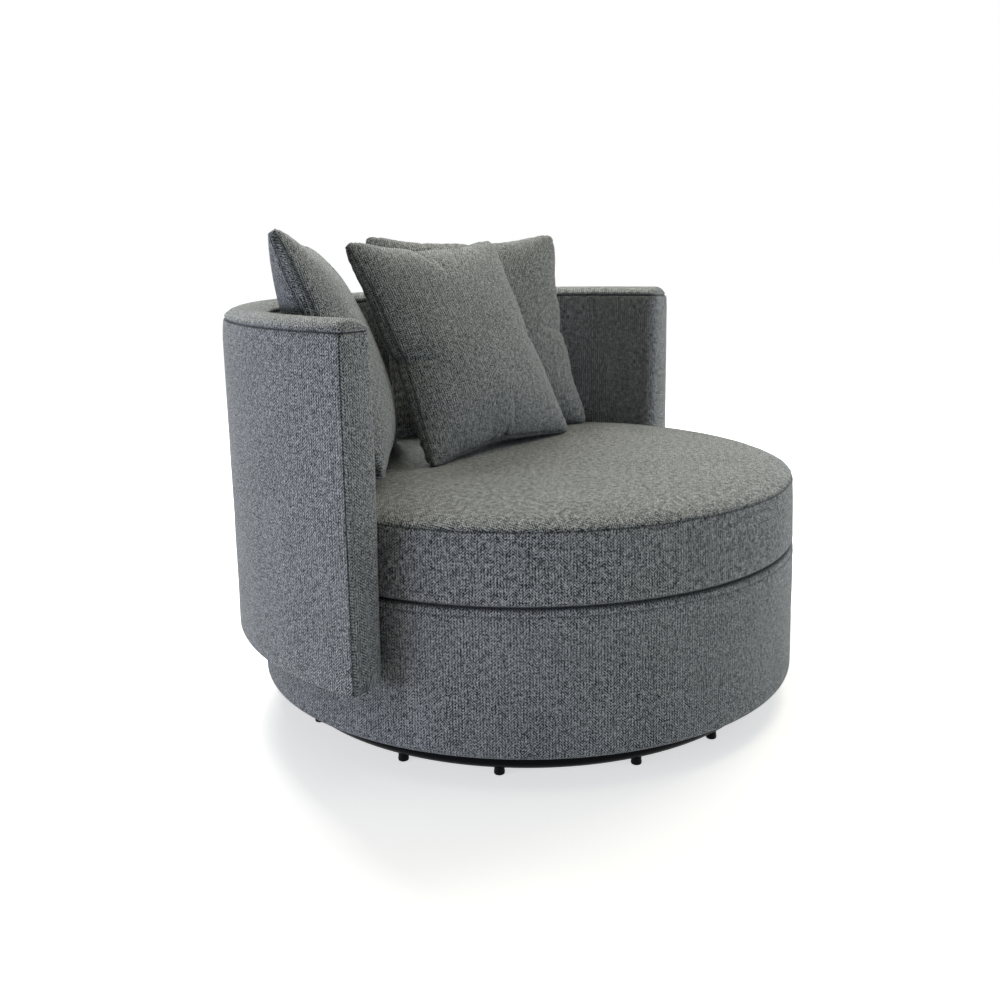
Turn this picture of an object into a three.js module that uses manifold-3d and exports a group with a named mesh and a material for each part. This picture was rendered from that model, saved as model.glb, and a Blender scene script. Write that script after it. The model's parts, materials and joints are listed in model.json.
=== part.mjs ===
// Round swivel cuddle chair: a drum seat that turns on a steel ring base, a curved back shell bolted
// round it, a loose seat cushion and three loose pillows.
// Millimetres, +Z up, the floor at zero, the front towards -Y.
import * as THREE from "three";
import { mergeVertices } from "three/addons/utils/BufferGeometryUtils.js";
import Module from "manifold-3d";

const wasm = await Module();
wasm.setup();

// Clearances
const fit = 0.3; // between pieces that touch
const overrun = 5; // how far a cutting tool passes the face that it cuts
const bladeFit = 0.3; // round a screw or bolt in its hole

// Drum
const drumRadius = 480;
const drumLow = 48; // bottom edge of the cover above the floor
const drumTop = 281.3; // top of the deck cloth
const drumCorner = 13; // rounding of the cover's bottom edge and shoulder
const coverThick = 2; // upholstery cloth with its lining
const coverLip = 35; // cloth turned under the drum
const drumFoam = 12;
const drumPanel = 4;
const boardThick = 18;
const boardRise = 9.7; // underside of the base board above the cover's bottom edge
const dustThick = 1.3;
const dustInset = 5; // inside the base board's rim
const dustHole = 160; // radius of the opening in the dust cover
const deckPad = 12;
const hoopWidth = 60;
const hoopThick = 20;
const webThick = 1.8;
const webWidth = 50;
const webSeat = 6; // how far the webbing's ends stay inside the hoop's rim
const postWidth = 60;
const postDepth = 40;
const postSetback = 3;

// Back shell, an arc whose centre lies forward of the swivel axis
const shellForward = 63;
const shellInner = 489.6; // inner radius at the shell's bottom edge
const shellThick = 79;
const shellFlare = 8.5; // how far the wall has leaned out at its top seam
const shellBottom = 160;
const shellSeam = 684; // the seams below the top strip
const shellCrown = 15; // rise of the top strip above its seams
const shellCorner = 12; // rounding of the bottom edges
const shellEnd = 10; // rounding of the arm ends
const shellTurn = 2.45; // angle of each arm end above the line through the arc's centre, in degrees
const shellFoam = 16;
const shellPanel = 3;
const shellLip = 26; // cloth turned under the shell on each side
const railHigh = 40;
const topRailHigh = 25;
const shellToDrum = 2; // sideways gap between the drum and the shell

// Seat cushion
const cushionSeam = 393.6; // top seam of the boxing above the floor
const cushionCrown = 26;
const cushionEdge = 10; // rounding under the bottom seam
const cushionSideIn = 3; // how far the boxing draws in below its top seam
const cushionToShell = 4;
const zipWide = 300;
const zipGap = 2;
const cushionZipRise = 22; // height of the zip above the cushion's underside
// The crown, as insets from the edge in shares of the drum's radius, and as shares of its rise
const crownInsetShares = [0, 0.025, 0.083, 0.23, 0.46];
const crownRiseShares = [0, 0.3, 0.58, 0.84, 0.96];

// Pillows
const pillowSide = 430;
const pillowThick = 130;
const pillowEdge = 4; // thickness of the closed seam
const pillowCloth = 2.5;
const pillowHem = 7; // how far the filling stays inside the seam
const pillowPullShare = 0.04; // how far the middle of a side draws in, as a share of half the side
const pillowFullness = 0.42; // exponent of the swell from the seam to the middle
const pillowDepthShare = 0.319; // lower edge of a side pillow before its chord of the shell, of a pillow's side
const pillowSlideShare = 0.016; // side pillows slid outwards, of a pillow's side
const pillowFrontShare = 0.028; // sideways place of the front pillow, of a pillow's side
const pillowRoomShare = 0.8; // front pillow before the side ones, of a pillow's thickness
const pillowFrontTurn = -5.6;
const pillowLeans = { front: 26.4, left: 22, right: 22 }; // back from upright, in degrees

// Base and swivel bearing
const ringRadius = 419;
const ringTube = 18;
const ringRise = 25; // centre of the tube above the floor
const barSide = 25;
const barRise = 28; // centre of the cross above the floor
const barWall = 1.5;
const barCore = 40; // solid middle of the cross, from its centre
const plateSide = 200;
const plateCorner = 12;
const plateThick = 3;
const ballRadius = 5;
const ballCircle = 80;
const cageWidth = 16;
const cageThick = 4;
const rivetRadius = 8;
const rivetHead = 14;
const rivetHeadThick = 4;
const rivetWell = 16; // radius of the hole in the base board round the rivet's head
const screwPlace = 80;
const screwRadius = 2.5;
const screwHead = 6;
const screwHeadThick = 2.9;
const screwBite = 15;
const glidePad = 8.5;
const glideStem = 7;
const glidePadThick = 3;
const glideEdge = 1.2;

// Bolts that hold the shell to the drum
const boltRadius = 4;
const boltHead = 8;
const boltHeadThick = 5;
const boltBite = 22; // length in the shell's bottom rail
const boltRise = 24; // above the shell's bottom edge

// Counts and angles
const around = 44; // facets round the drum, the cushion and the ring
const shellSteps = 28;
const cornerSteps = 3;
const edgeSteps = 2; // round the shell's and the cushion's edges
const crownSteps = 5; // across the shell's top strip
const hiddenCrownSteps = 4;
const tubeSides = 10;
const boltSides = 8;
const pillowGrid = 10;
const fillingGrid = 8;
const glideSides = 8;
const ballSides = 6;
const ballCount = 12;
const glidePairs = 7;
const glidePairTurn = 10.9; // half the angle between the two glides of a pair
const glideStart = -167.2;
const drumPostAngles = [90, 162, 234, 306, 18];
const boltAngles = [90, 162, 18];
const shellPostSteps = [0, 7, 14, 20, 27]; // the facet of the shell that each post stands in
const webPlaces = [-1.5, -0.5, 0.5, 1.5]; // strap centres, in steps of the strap spacing
const webSpacingShare = 0.42; // strap spacing as a share of the drum's radius

// Heights that follow from the sizes above
const ledge = shellBottom - fit;
const boardLow = drumLow + boardRise;
const boardHigh = boardLow + boardThick;
const deckHigh = drumTop - coverThick - fit;
const deckLow = deckHigh - deckPad;
const webHigh = deckLow - fit;
const webLow = webHigh - webThick;
const hoopHigh = webLow - fit;
const hoopLow = hoopHigh - hoopThick;
const cushionLow = drumTop + fit;
const barHigh = barRise + barSide / 2;
const lowerPlate = barHigh + fit;
const raceLow = lowerPlate + plateThick + fit;
const raceHigh = raceLow + 2 * ballRadius;
const upperPlate = raceHigh + fit;

// Layers of the drum's wall, as depths below the outside of its cover
const foamDepth = coverThick + fit;
const panelDepth = foamDepth + drumFoam + fit;
const frameDepth = panelDepth + drumPanel + fit;

// Layers of the shell's wall, as depths below the outside of its cover
const shellFoamDepth = coverThick + fit;
const shellPanelDepth = shellFoamDepth + shellFoam + fit;
const shellFrameDepth = shellPanelDepth + shellPanel + fit;
const shellFrameLow = shellBottom + coverThick + fit;
const shellFrameHigh = shellSeam - shellPanelDepth;

// The outline runs from the drum's front to the shell's back, and the origin lies midway
const shellBack = shellInner + shellThick + shellFlare - shellForward;
const swivelY = (drumRadius - shellBack) / 2;

const radians = THREE.MathUtils.degToRad;

// Materials, one for each kind of surface
const looks = {
  cloth: { color: 0x5c6064, roughness: 0.95, metalness: 0 },
  cushionCloth: { color: 0x63665f, roughness: 0.95, metalness: 0 },
  pillowCloth: { color: 0x5a5c58, roughness: 0.95, metalness: 0 },
  lining: { color: 0x17181a, roughness: 0.9, metalness: 0 },
  foam: { color: 0xd9d2b8, roughness: 1, metalness: 0 },
  filling: { color: 0xeeece6, roughness: 1, metalness: 0 },
  webbing: { color: 0x3b3a36, roughness: 0.9, metalness: 0 },
  timber: { color: 0xb8925f, roughness: 0.8, metalness: 0 },
  plywood: { color: 0xc9a878, roughness: 0.75, metalness: 0 },
  hardboard: { color: 0x7a5636, roughness: 0.8, metalness: 0 },
  blackSteel: { color: 0x0d0d0e, roughness: 0.25, metalness: 0.6 },
  zincSteel: { color: 0xa9abad, roughness: 0.4, metalness: 1 },
  ballSteel: { color: 0xc9cacc, roughness: 0.2, metalness: 1 },
  glidePlastic: { color: 0x111112, roughness: 0.5, metalness: 0 },
};

// A closed mesh as a solid, with its faces turned outwards
function toSolid(geometry) {
  const bare = geometry.clone();
  bare.deleteAttribute("normal");
  bare.deleteAttribute("uv");
  const merged = mergeVertices(bare);
  const index = merged.index.array;
  const triangles = [];
  for (let i = 0; i < index.length; i += 3) {
    const [a, b, c] = [index[i], index[i + 1], index[i + 2]];
    if (a !== b && b !== c && c !== a) triangles.push(a, b, c);
  }
  const build = (order) =>
    new wasm.Manifold(
      new wasm.Mesh({
        numProp: 3,
        vertProperties: new Float32Array(merged.attributes.position.array),
        triVerts: new Uint32Array(order),
      }),
    );
  const made = build(triangles);
  return made.volume() > 0 ? made : build(triangles.slice().reverse());
}

function toGeometry(solid) {
  const mesh = solid.getMesh();
  const geometry = new THREE.BufferGeometry();
  geometry.setAttribute("position", new THREE.BufferAttribute(new Float32Array(mesh.vertProperties), 3));
  geometry.setIndex(new THREE.BufferAttribute(new Uint32Array(mesh.triVerts), 1));
  geometry.computeVertexNormals();
  return geometry;
}

function addMesh(parent, name, solid, look) {
  const mesh = new THREE.Mesh(toGeometry(solid), new THREE.MeshStandardMaterial(looks[look]));
  mesh.name = name;
  parent.add(mesh);
  return mesh;
}

// A closed surface over rows of points. Each row is a loop, and a point caps the rows at each end.
function loft(rows) {
  const count = rows[0].length;
  const points = rows.flat();
  const faces = [];
  for (let row = 0; row < rows.length - 1; row++) {
    for (let i = 0; i < count; i++) {
      const j = (i + 1) % count;
      const near = row * count;
      const far = near + count;
      faces.push(near + i, near + j, far + j, near + i, far + j, far + i);
    }
  }
  const middle = (row) => row.reduce((sum, p) => sum.add(p), new THREE.Vector3()).divideScalar(count);
  points.push(middle(rows[0]), middle(rows[rows.length - 1]));
  const start = rows.length * count;
  const last = start - count;
  for (let i = 0; i < count; i++) {
    const j = (i + 1) % count;
    faces.push(start, j, i, start + 1, last + i, last + j);
  }
  const geometry = new THREE.BufferGeometry().setFromPoints(points);
  geometry.setIndex(faces);
  return toSolid(geometry);
}

// A profile of radius and height turned about the Z axis
function turned(profile, sides) {
  const points = profile.map(([radius, z]) => new THREE.Vector2(radius, z));
  return toSolid(new THREE.LatheGeometry(points, sides).rotateX(Math.PI / 2));
}

function disc(radius, low, high, sides) {
  return turned([[0, low], [radius, low], [radius, high], [0, high]], sides);
}

function block(sizeX, sizeY, low, high) {
  const geometry = new THREE.BoxGeometry(sizeX, sizeY, high - low);
  return toSolid(geometry.translate(0, 0, (low + high) / 2));
}

// A rod along the X axis from one distance to another, turned about Z and raised
function rod(radius, from, to, sides, angle, rise) {
  const geometry = new THREE.CylinderGeometry(radius, radius, to - from, sides);
  geometry.rotateZ(-Math.PI / 2);
  geometry.translate((from + to) / 2, 0, rise);
  return toSolid(geometry.rotateZ(angle));
}

// Distance from the swivel axis to a circle about the shell's centre, along one angle
function shellRay(angle, radius) {
  const across = shellForward * Math.cos(angle);
  return Math.sqrt(radius ** 2 - across ** 2) - shellForward * Math.sin(angle);
}

const roundLine = (angle, inset) => drumRadius - inset;
const seatLine = (angle, inset) =>
  Math.min(drumRadius - inset, shellRay(angle, shellInner - shellToDrum - inset));
const cushionLine = (angle, inset) =>
  Math.min(drumRadius - inset, shellRay(angle, shellInner - cushionToShell - inset));

// A stack of rings that follow an outline round the axis, each at its own inset and height
function stack(outline, levels) {
  const rows = levels.map(([inset, z]) => {
    const ring = [];
    for (let i = 0; i < around; i++) {
      const angle = (i / around) * 2 * Math.PI;
      const radius = outline(angle, inset);
      ring.push(new THREE.Vector3(radius * Math.cos(angle), radius * Math.sin(angle), z));
    }
    return ring;
  });
  return loft(rows);
}

// Levels of a rounded lower or upper corner, or of a sharp one where no radius is left
function lowerCorner(inset, z, radius, steps) {
  if (radius <= 0) return [[inset, z]];
  const levels = [];
  for (let k = 0; k <= steps; k++) {
    const angle = ((k / steps) * Math.PI) / 2;
    levels.push([inset + radius * (1 - Math.sin(angle)), z + radius * (1 - Math.cos(angle))]);
  }
  return levels;
}

function upperCorner(inset, z, radius, steps) {
  if (radius <= 0) return [[inset, z]];
  const levels = [];
  for (let k = 0; k <= steps; k++) {
    const angle = ((k / steps) * Math.PI) / 2;
    levels.push([inset + radius * (1 - Math.cos(angle)), z - radius * (1 - Math.sin(angle))]);
  }
  return levels;
}

// The drum at a depth below its cover: a full round foot, and above the ledge a body that the shell bounds
function drumBody(inset, low, high, steps) {
  const corner = drumCorner - inset;
  const foot = [...lowerCorner(inset, low, corner, steps), [inset, ledge - inset]];
  const body = [...lowerCorner(inset, low, corner, steps), ...upperCorner(inset, high, corner, steps)];
  return stack(seatLine, body).add(stack(roundLine, foot));
}

// Holes for the bolts that join the shell to the drum
const boltZ = shellBottom + boltRise;
function postFace(angle) {
  const spread = Math.atan(postWidth / 2 / drumRadius);
  const nearest = Math.min(seatLine(angle - spread, frameDepth), seatLine(angle + spread, frameDepth));
  return nearest * Math.cos(spread) - postSetback;
}
function boltSpan(angle) {
  const head = postFace(angle) - postDepth;
  const tip = shellRay(angle, shellInner + shellFrameDepth) + boltBite;
  return [head, tip];
}
const boltHoles = boltAngles.map((degrees) => {
  const angle = radians(degrees);
  const [head, tip] = boltSpan(angle);
  return rod(boltRadius + bladeFit, head - overrun, tip + fit, boltSides, angle, boltZ);
});
const drilled = (solid) => boltHoles.reduce((left, hole) => left.subtract(hole), solid);

function buildDrum(seat) {
  const mouth = disc(drumRadius - coverLip, drumLow - overrun, drumLow + coverThick + overrun, around);
  const cover = drumBody(0, drumLow, drumTop, cornerSteps)
    .subtract(drumBody(coverThick, drumLow + coverThick, drumTop - coverThick, 1))
    .subtract(mouth);
  addMesh(seat, "drum_cover", drilled(cover), "cloth");

  const foam = drumBody(foamDepth, drumLow + foamDepth, deckHigh, 1).subtract(
    drumBody(foamDepth + drumFoam, drumLow - overrun, deckHigh + overrun, 1),
  );
  addMesh(seat, "drum_foam", drilled(foam), "foam");

  const panelLow = drumLow + foamDepth + fit;
  const panel = drumBody(panelDepth, panelLow, webHigh, 1).subtract(
    drumBody(panelDepth + drumPanel, panelLow - overrun, webHigh + overrun, 1),
  );
  addMesh(seat, "drum_panel", drilled(panel), "hardboard");

  const screwTip = upperPlate + screwBite;
  let board = disc(drumRadius - frameDepth, boardLow, boardHigh, around);
  board = board.subtract(disc(rivetWell, boardLow - overrun, boardHigh + overrun, around / 2));
  for (const [x, y] of screwPlaces()) {
    const hole = disc(screwRadius + bladeFit, boardLow - overrun, screwTip + fit, boltSides);
    board = board.subtract(hole.translate(x, y, 0));
  }
  addMesh(seat, "base_board", board, "plywood");

  const dustHigh = boardLow - fit;
  const dust = disc(drumRadius - frameDepth - dustInset, dustHigh - dustThick, dustHigh, around).subtract(
    disc(dustHole, dustHigh - dustThick - overrun, dustHigh + overrun, around),
  );
  addMesh(seat, "dust_cover", dust, "lining");

  const hoopIn = frameDepth + hoopWidth;
  const hoop = stack(seatLine, [[frameDepth, hoopLow], [frameDepth, hoopHigh]]).subtract(
    stack(seatLine, [[hoopIn, hoopLow - overrun], [hoopIn, hoopHigh + overrun]]),
  );
  addMesh(seat, "top_hoop", hoop, "plywood");

  drumPostAngles.forEach((degrees, i) => {
    const angle = radians(degrees);
    const face = postFace(angle);
    const geometry = new THREE.BoxGeometry(postDepth, postWidth, hoopLow - boardHigh - 2 * fit);
    geometry.translate(face - postDepth / 2, 0, (hoopLow + boardHigh) / 2);
    addMesh(seat, "drum_post_" + (i + 1), drilled(toSolid(geometry.rotateZ(angle))), "timber");
  });

  const inside = stack(seatLine, [[frameDepth + webSeat, webLow], [frameDepth + webSeat, webHigh]]);
  const length = 2 * drumRadius;
  let straps = null;
  for (const place of webPlaces) {
    const offset = place * webSpacingShare * drumRadius;
    const along = block(length, webWidth, webLow - overrun, webHigh + overrun).translate(0, offset, 0);
    const across = block(webWidth, length, webLow - overrun, webHigh + overrun).translate(offset, 0, 0);
    straps = straps ? straps.add(along).add(across) : along.add(across);
  }
  addMesh(seat, "seat_webbing", straps.intersect(inside), "webbing");

  const pad = stack(seatLine, [[panelDepth, deckLow], [panelDepth, deckHigh]]);
  addMesh(seat, "deck_pad", pad, "filling");
}

// The shell's wall leans out as it rises
function lean(z) {
  return (shellFlare * (z - shellBottom)) / (shellSeam - shellBottom);
}

const shellFrom = radians(shellTurn);
const shellTo = Math.PI - shellFrom;
const shellMiddle = shellInner + shellThick / 2;
const shellStep = (shellTo - shellFrom) / shellSteps;

// The shell's cross-section at a depth below its cover, as distance from the arc's centre and height
function shellSection(inset, low, steps, crown) {
  const corner = lowerCorner(inset, low, shellCorner - inset, steps);
  const points = corner.map(([depth, z]) => [depth - shellThick / 2, z]).reverse();
  points.push(...corner.map(([depth, z]) => [shellThick / 2 - depth, z]));
  for (let k = 0; k <= crown; k++) {
    const angle = (k / crown) * Math.PI;
    const across = (shellThick / 2 - inset) * Math.cos(angle);
    points.push([across, shellSeam - inset + shellCrown * Math.sin(angle)]);
  }
  return points.map(([across, z]) => [shellMiddle + across + lean(z), z]);
}

function sweepShell(rows) {
  return loft(
    rows.map(({ angle, section }) =>
      section.map(([r, z]) => new THREE.Vector3(r * Math.cos(angle), r * Math.sin(angle) - shellForward, z)),
    ),
  );
}

// The facet angles between two ends of an arc, with the ends themselves
function shellAngles(from, to) {
  const angles = [from];
  for (let k = 1; k < shellSteps; k++) {
    const angle = shellFrom + k * shellStep;
    if (angle > from + shellStep / shellSteps && angle < to - shellStep / shellSteps) angles.push(angle);
  }
  angles.push(to);
  return angles;
}

// The whole shell at a depth below its cover, with rounded arm ends
function shellBody(inset, low, steps, crown) {
  const end = Math.max(shellEnd - inset, 0);
  const rows = [];
  const rounds = [];
  for (let k = 0; k < (end > 0 ? steps : 0); k++) {
    const angle = ((k / steps) * Math.PI) / 2;
    rounds.push([end * (1 - Math.cos(angle)), end * (1 - Math.sin(angle))]);
  }
  const turn = (distance) => (inset + distance) / shellMiddle;
  const rounded = (shrink) => shellSection(inset + shrink, low + shrink, steps, crown);
  for (const [distance, shrink] of rounds) {
    rows.push({ angle: shellFrom + turn(distance), section: rounded(shrink) });
  }
  for (const angle of shellAngles(shellFrom + turn(end), shellTo - turn(end))) {
    rows.push({ angle, section: shellSection(inset, low, steps, crown) });
  }
  for (const [distance, shrink] of rounds.reverse()) {
    rows.push({ angle: shellTo - turn(distance), section: rounded(shrink) });
  }
  return sweepShell(rows);
}

// A plain band of the shell between two depths from its inner face
function shellBand(inner, outer, low, high, from, to) {
  const corner = (depth, z) => [shellInner + depth + lean(z), z];
  const section = [corner(inner, low), corner(outer, low), corner(outer, high), corner(inner, high)];
  return sweepShell(shellAngles(from, to).map((angle) => ({ angle, section })));
}

function buildShell(seat) {
  const slotTurn = shellLip / shellMiddle;
  const slot = shellBand(
    shellLip,
    shellThick - shellLip,
    shellBottom - overrun,
    shellBottom + coverThick + overrun,
    shellFrom + slotTurn,
    shellTo - slotTurn,
  );
  const cover = shellBody(0, shellBottom, edgeSteps, crownSteps)
    .subtract(shellBody(coverThick, shellBottom + coverThick, 1, hiddenCrownSteps))
    .subtract(slot);
  addMesh(seat, "shell_cover", drilled(cover), "cloth");

  const foam = shellBody(shellFoamDepth, shellFrameLow, 1, hiddenCrownSteps).subtract(
    shellBody(shellFoamDepth + shellFoam, shellFrameLow - overrun, 1, hiddenCrownSteps),
  );
  addMesh(seat, "shell_foam", drilled(foam), "foam");

  const frameTurn = shellPanelDepth / shellMiddle;
  const from = shellFrom + frameTurn;
  const to = shellTo - frameTurn;
  const outerDepth = shellThick - shellPanelDepth;
  const high = shellFrameHigh;
  const innerPanel = shellBand(shellPanelDepth, shellPanelDepth + shellPanel, shellFrameLow, high, from, to);
  addMesh(seat, "shell_inner_panel", drilled(innerPanel), "hardboard");
  const outerPanel = shellBand(outerDepth - shellPanel, outerDepth, shellFrameLow, high, from, to);
  addMesh(seat, "shell_outer_panel", outerPanel, "hardboard");

  const railIn = shellFrameDepth;
  const railOut = shellThick - shellFrameDepth;
  const railTop = shellFrameLow + railHigh;
  const topRailLow = high - topRailHigh;
  const bottomRail = shellBand(railIn, railOut, shellFrameLow, railTop, from, to);
  addMesh(seat, "shell_bottom_rail", drilled(bottomRail), "plywood");
  addMesh(seat, "shell_top_rail", shellBand(railIn, railOut, topRailLow, high, from, to), "plywood");

  shellPostSteps.forEach((step, i) => {
    const start = Math.max(shellFrom + step * shellStep, from);
    const end = Math.min(shellFrom + (step + 1) * shellStep, to);
    const post = shellBand(railIn, railOut, railTop + fit, topRailLow - fit, start, end);
    addMesh(seat, "shell_post_" + (i + 1), post, "timber");
  });

  boltAngles.forEach((degrees, i) => {
    const angle = radians(degrees);
    const [head, tip] = boltSpan(angle);
    const shank = rod(boltRadius, head - boltHeadThick, tip, boltSides, angle, boltZ);
    const hex = rod(boltHead, head - boltHeadThick - fit, head - fit, 6, angle, boltZ);
    addMesh(seat, "shell_bolt_" + (i + 1), shank.add(hex), "zincSteel");
  });
}

function screwPlaces() {
  const places = [];
  for (const x of [-screwPlace, screwPlace]) {
    for (const y of [-screwPlace, screwPlace]) places.push([x, y]);
  }
  return places;
}

// A square plate with rounded corners and a round hole in its middle
function plate(low) {
  const half = plateSide / 2;
  const shape = new THREE.Shape();
  shape.moveTo(half, plateCorner - half);
  shape.lineTo(half, half - plateCorner);
  shape.absarc(half - plateCorner, half - plateCorner, plateCorner, 0, Math.PI / 2);
  shape.absarc(plateCorner - half, half - plateCorner, plateCorner, Math.PI / 2, Math.PI);
  shape.absarc(plateCorner - half, plateCorner - half, plateCorner, Math.PI, 1.5 * Math.PI);
  shape.absarc(half - plateCorner, plateCorner - half, plateCorner, 1.5 * Math.PI, 2 * Math.PI);
  const geometry = new THREE.ExtrudeGeometry(shape, {
    depth: plateThick,
    bevelEnabled: false,
    curveSegments: cornerSteps,
  });
  const hole = disc(rivetRadius + fit, low - overrun, low + plateThick + overrun, boltSides * 2);
  return toSolid(geometry.translate(0, 0, low)).subtract(hole);
}

function ringSolid(tube) {
  const geometry = new THREE.TorusGeometry(ringRadius, tube, tubeSides, around);
  return toSolid(geometry.translate(0, 0, ringRise));
}

function buildBase(base) {
  addMesh(base, "base_ring", ringSolid(ringTube), "blackSteel");
  const socket = ringSolid(ringTube + fit);

  const length = 2 * ringRadius;
  let cross = block(length, barSide, barRise - barSide / 2, barHigh);
  cross = cross.add(block(barSide, length, barRise - barSide / 2, barHigh));
  const bore = barSide / 2 - barWall;
  for (let quarter = 0; quarter < 4; quarter++) {
    const pocket = new THREE.BoxGeometry(ringRadius, 2 * bore, 2 * bore);
    pocket.translate(barCore + ringRadius / 2, 0, barRise);
    cross = cross.subtract(toSolid(pocket.rotateZ((quarter * Math.PI) / 2)));
  }
  const reach = disc(ringRadius, 0, barRise + barSide, around);
  addMesh(base, "base_cross", cross.intersect(reach).subtract(socket), "blackSteel");

  for (let pair = 0; pair < glidePairs; pair++) {
    for (const side of [-1, 1]) {
      const angle = radians(glideStart + (pair * 360) / glidePairs + side * glidePairTurn);
      const body = turned(
        [
          [0, 0],
          [glidePad - glideEdge, 0],
          [glidePad, glideEdge],
          [glidePad, glidePadThick],
          [glideStem, glidePadThick + glideEdge],
          [glideStem, ringRise],
          [0, ringRise],
        ],
        glideSides,
      );
      const placed = body.translate(ringRadius * Math.cos(angle), ringRadius * Math.sin(angle), 0);
      const number = 2 * pair + (side + 3) / 2;
      addMesh(base, "glide_" + String(number).padStart(2, "0"), placed.subtract(socket), "glidePlastic");
    }
  }

  addMesh(base, "bearing_lower_plate", plate(lowerPlate), "zincSteel");

  const raceMiddle = (raceLow + raceHigh) / 2;
  const cageIn = ballCircle - cageWidth / 2;
  const cageOut = ballCircle + cageWidth / 2;
  const cageLow = raceMiddle - cageThick / 2;
  const cageHigh = raceMiddle + cageThick / 2;
  let race = turned(
    [[cageIn, cageLow], [cageOut, cageLow], [cageOut, cageHigh], [cageIn, cageHigh], [cageIn, cageLow]],
    2 * ballCount,
  );
  for (let i = 0; i < ballCount; i++) {
    const angle = (i / ballCount) * 2 * Math.PI;
    const ball = toSolid(new THREE.SphereGeometry(ballRadius, ballSides, ballSides - 2).rotateX(Math.PI / 2));
    race = race.add(ball.translate(ballCircle * Math.cos(angle), ballCircle * Math.sin(angle), raceMiddle));
  }
  addMesh(base, "ball_race", race, "ballSteel");

  const headLow = upperPlate + plateThick + fit;
  const rivet = turned(
    [
      [0, lowerPlate],
      [rivetRadius, lowerPlate],
      [rivetRadius, raceLow],
      [rivetHead, raceLow],
      [rivetHead, raceHigh],
      [rivetRadius, raceHigh],
      [rivetRadius, headLow],
      [rivetHead, headLow],
      [rivetHead, headLow + rivetHeadThick],
      [0, headLow + rivetHeadThick],
    ],
    2 * boltSides,
  );
  addMesh(base, "pivot_rivet", rivet, "zincSteel");
}

function buildSwivelPlate(seat) {
  let upper = plate(upperPlate);
  screwPlaces().forEach(([x, y], i) => {
    const holeHigh = upperPlate + plateThick + overrun;
    const hole = disc(screwRadius + bladeFit, upperPlate - overrun, holeHigh, boltSides);
    upper = upper.subtract(hole.translate(x, y, 0));
    const headHigh = upperPlate - fit;
    const screw = turned(
      [
        [0, headHigh - screwHeadThick],
        [screwHead, headHigh - screwHeadThick / 2],
        [screwHead, headHigh],
        [screwRadius, headHigh],
        [screwRadius, upperPlate + screwBite - screwRadius],
        [0, upperPlate + screwBite],
      ],
      boltSides,
    );
    addMesh(seat, "plate_screw_" + (i + 1), screw.translate(x, y, 0), "zincSteel");
  });
  addMesh(seat, "bearing_upper_plate", upper, "zincSteel");
}

// Levels of the seat cushion at a depth below its cover: a rounded lower edge, drawn-in sides and a crown
function cushionLevels(depth, steps) {
  const low = cushionLow + depth;
  const seam = cushionSeam - depth;
  const levels = lowerCorner(depth, low, cushionEdge - depth, steps);
  levels.push([depth, (low + seam) / 2]);
  crownInsetShares.forEach((share, i) => {
    levels.push([depth + cushionSideIn + share * drumRadius, seam + crownRiseShares[i] * cushionCrown]);
  });
  return levels;
}

// Height of the cushion's top above a point of the seat
function crownHeight(x, y) {
  const angle = Math.atan2(y, x);
  const inset = cushionLine(angle, 0) - Math.hypot(x, y);
  const levels = cushionLevels(0, 1).slice(-crownInsetShares.length);
  for (let i = 1; i < levels.length; i++) {
    const [nearInset, nearZ] = levels[i - 1];
    const [farInset, farZ] = levels[i];
    if (inset <= farInset) {
      const share = Math.max((inset - nearInset) / (farInset - nearInset), 0);
      return nearZ + share * (farZ - nearZ);
    }
  }
  return levels[levels.length - 1][1];
}

function buildCushion(cushion) {
  const zip = new THREE.BoxGeometry(zipWide, drumRadius, zipGap);
  zip.translate(0, drumRadius, cushionLow + cushionZipRise);
  const cover = stack(cushionLine, cushionLevels(0, edgeSteps))
    .subtract(stack(cushionLine, cushionLevels(coverThick, 1)))
    .subtract(toSolid(zip));
  addMesh(cushion, "seat_cushion_cover", cover, "cushionCloth");
  addMesh(cushion, "seat_cushion_core", stack(cushionLine, cushionLevels(coverThick + fit, 1)), "foam");
}

// A pillow standing on its lower edge, its front towards -Y: two swollen faces that meet in a closed seam
function pillowBody(side, thick, edge, grid) {
  const points = [];
  const half = side / 2;
  for (const face of [-1, 1]) {
    for (let row = 0; row <= grid; row++) {
      for (let column = 0; column <= grid; column++) {
        const u = (2 * column) / grid - 1;
        const v = (2 * row) / grid - 1;
        const swell = ((1 - u * u) * (1 - v * v)) ** pillowFullness;
        const x = half * u * (1 - pillowPullShare * (1 - v * v));
        const z = half * v * (1 - pillowPullShare * (1 - u * u));
        const y = face * (edge / 2 + (thick / 2 - edge / 2) * swell);
        points.push(new THREE.Vector3(x, y, z + pillowSide / 2));
      }
    }
  }
  const wide = grid + 1;
  const back = wide * wide;
  const faces = [];
  for (let row = 0; row < grid; row++) {
    for (let column = 0; column < grid; column++) {
      const a = row * wide + column;
      const b = a + 1;
      const c = a + wide;
      const d = c + 1;
      faces.push(a, b, d, a, d, c);
      faces.push(back + a, back + d, back + b, back + a, back + c, back + d);
    }
  }
  for (let i = 0; i < grid; i++) {
    const rims = [
      [i, i + 1],
      [grid * wide + i + 1, grid * wide + i],
      [(i + 1) * wide, i * wide],
      [i * wide + grid, (i + 1) * wide + grid],
    ];
    for (const [p, q] of rims) faces.push(p, back + p, back + q, p, back + q, q);
  }
  const geometry = new THREE.BufferGeometry().setFromPoints(points);
  geometry.setIndex(faces);
  return toSolid(geometry);
}

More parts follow.
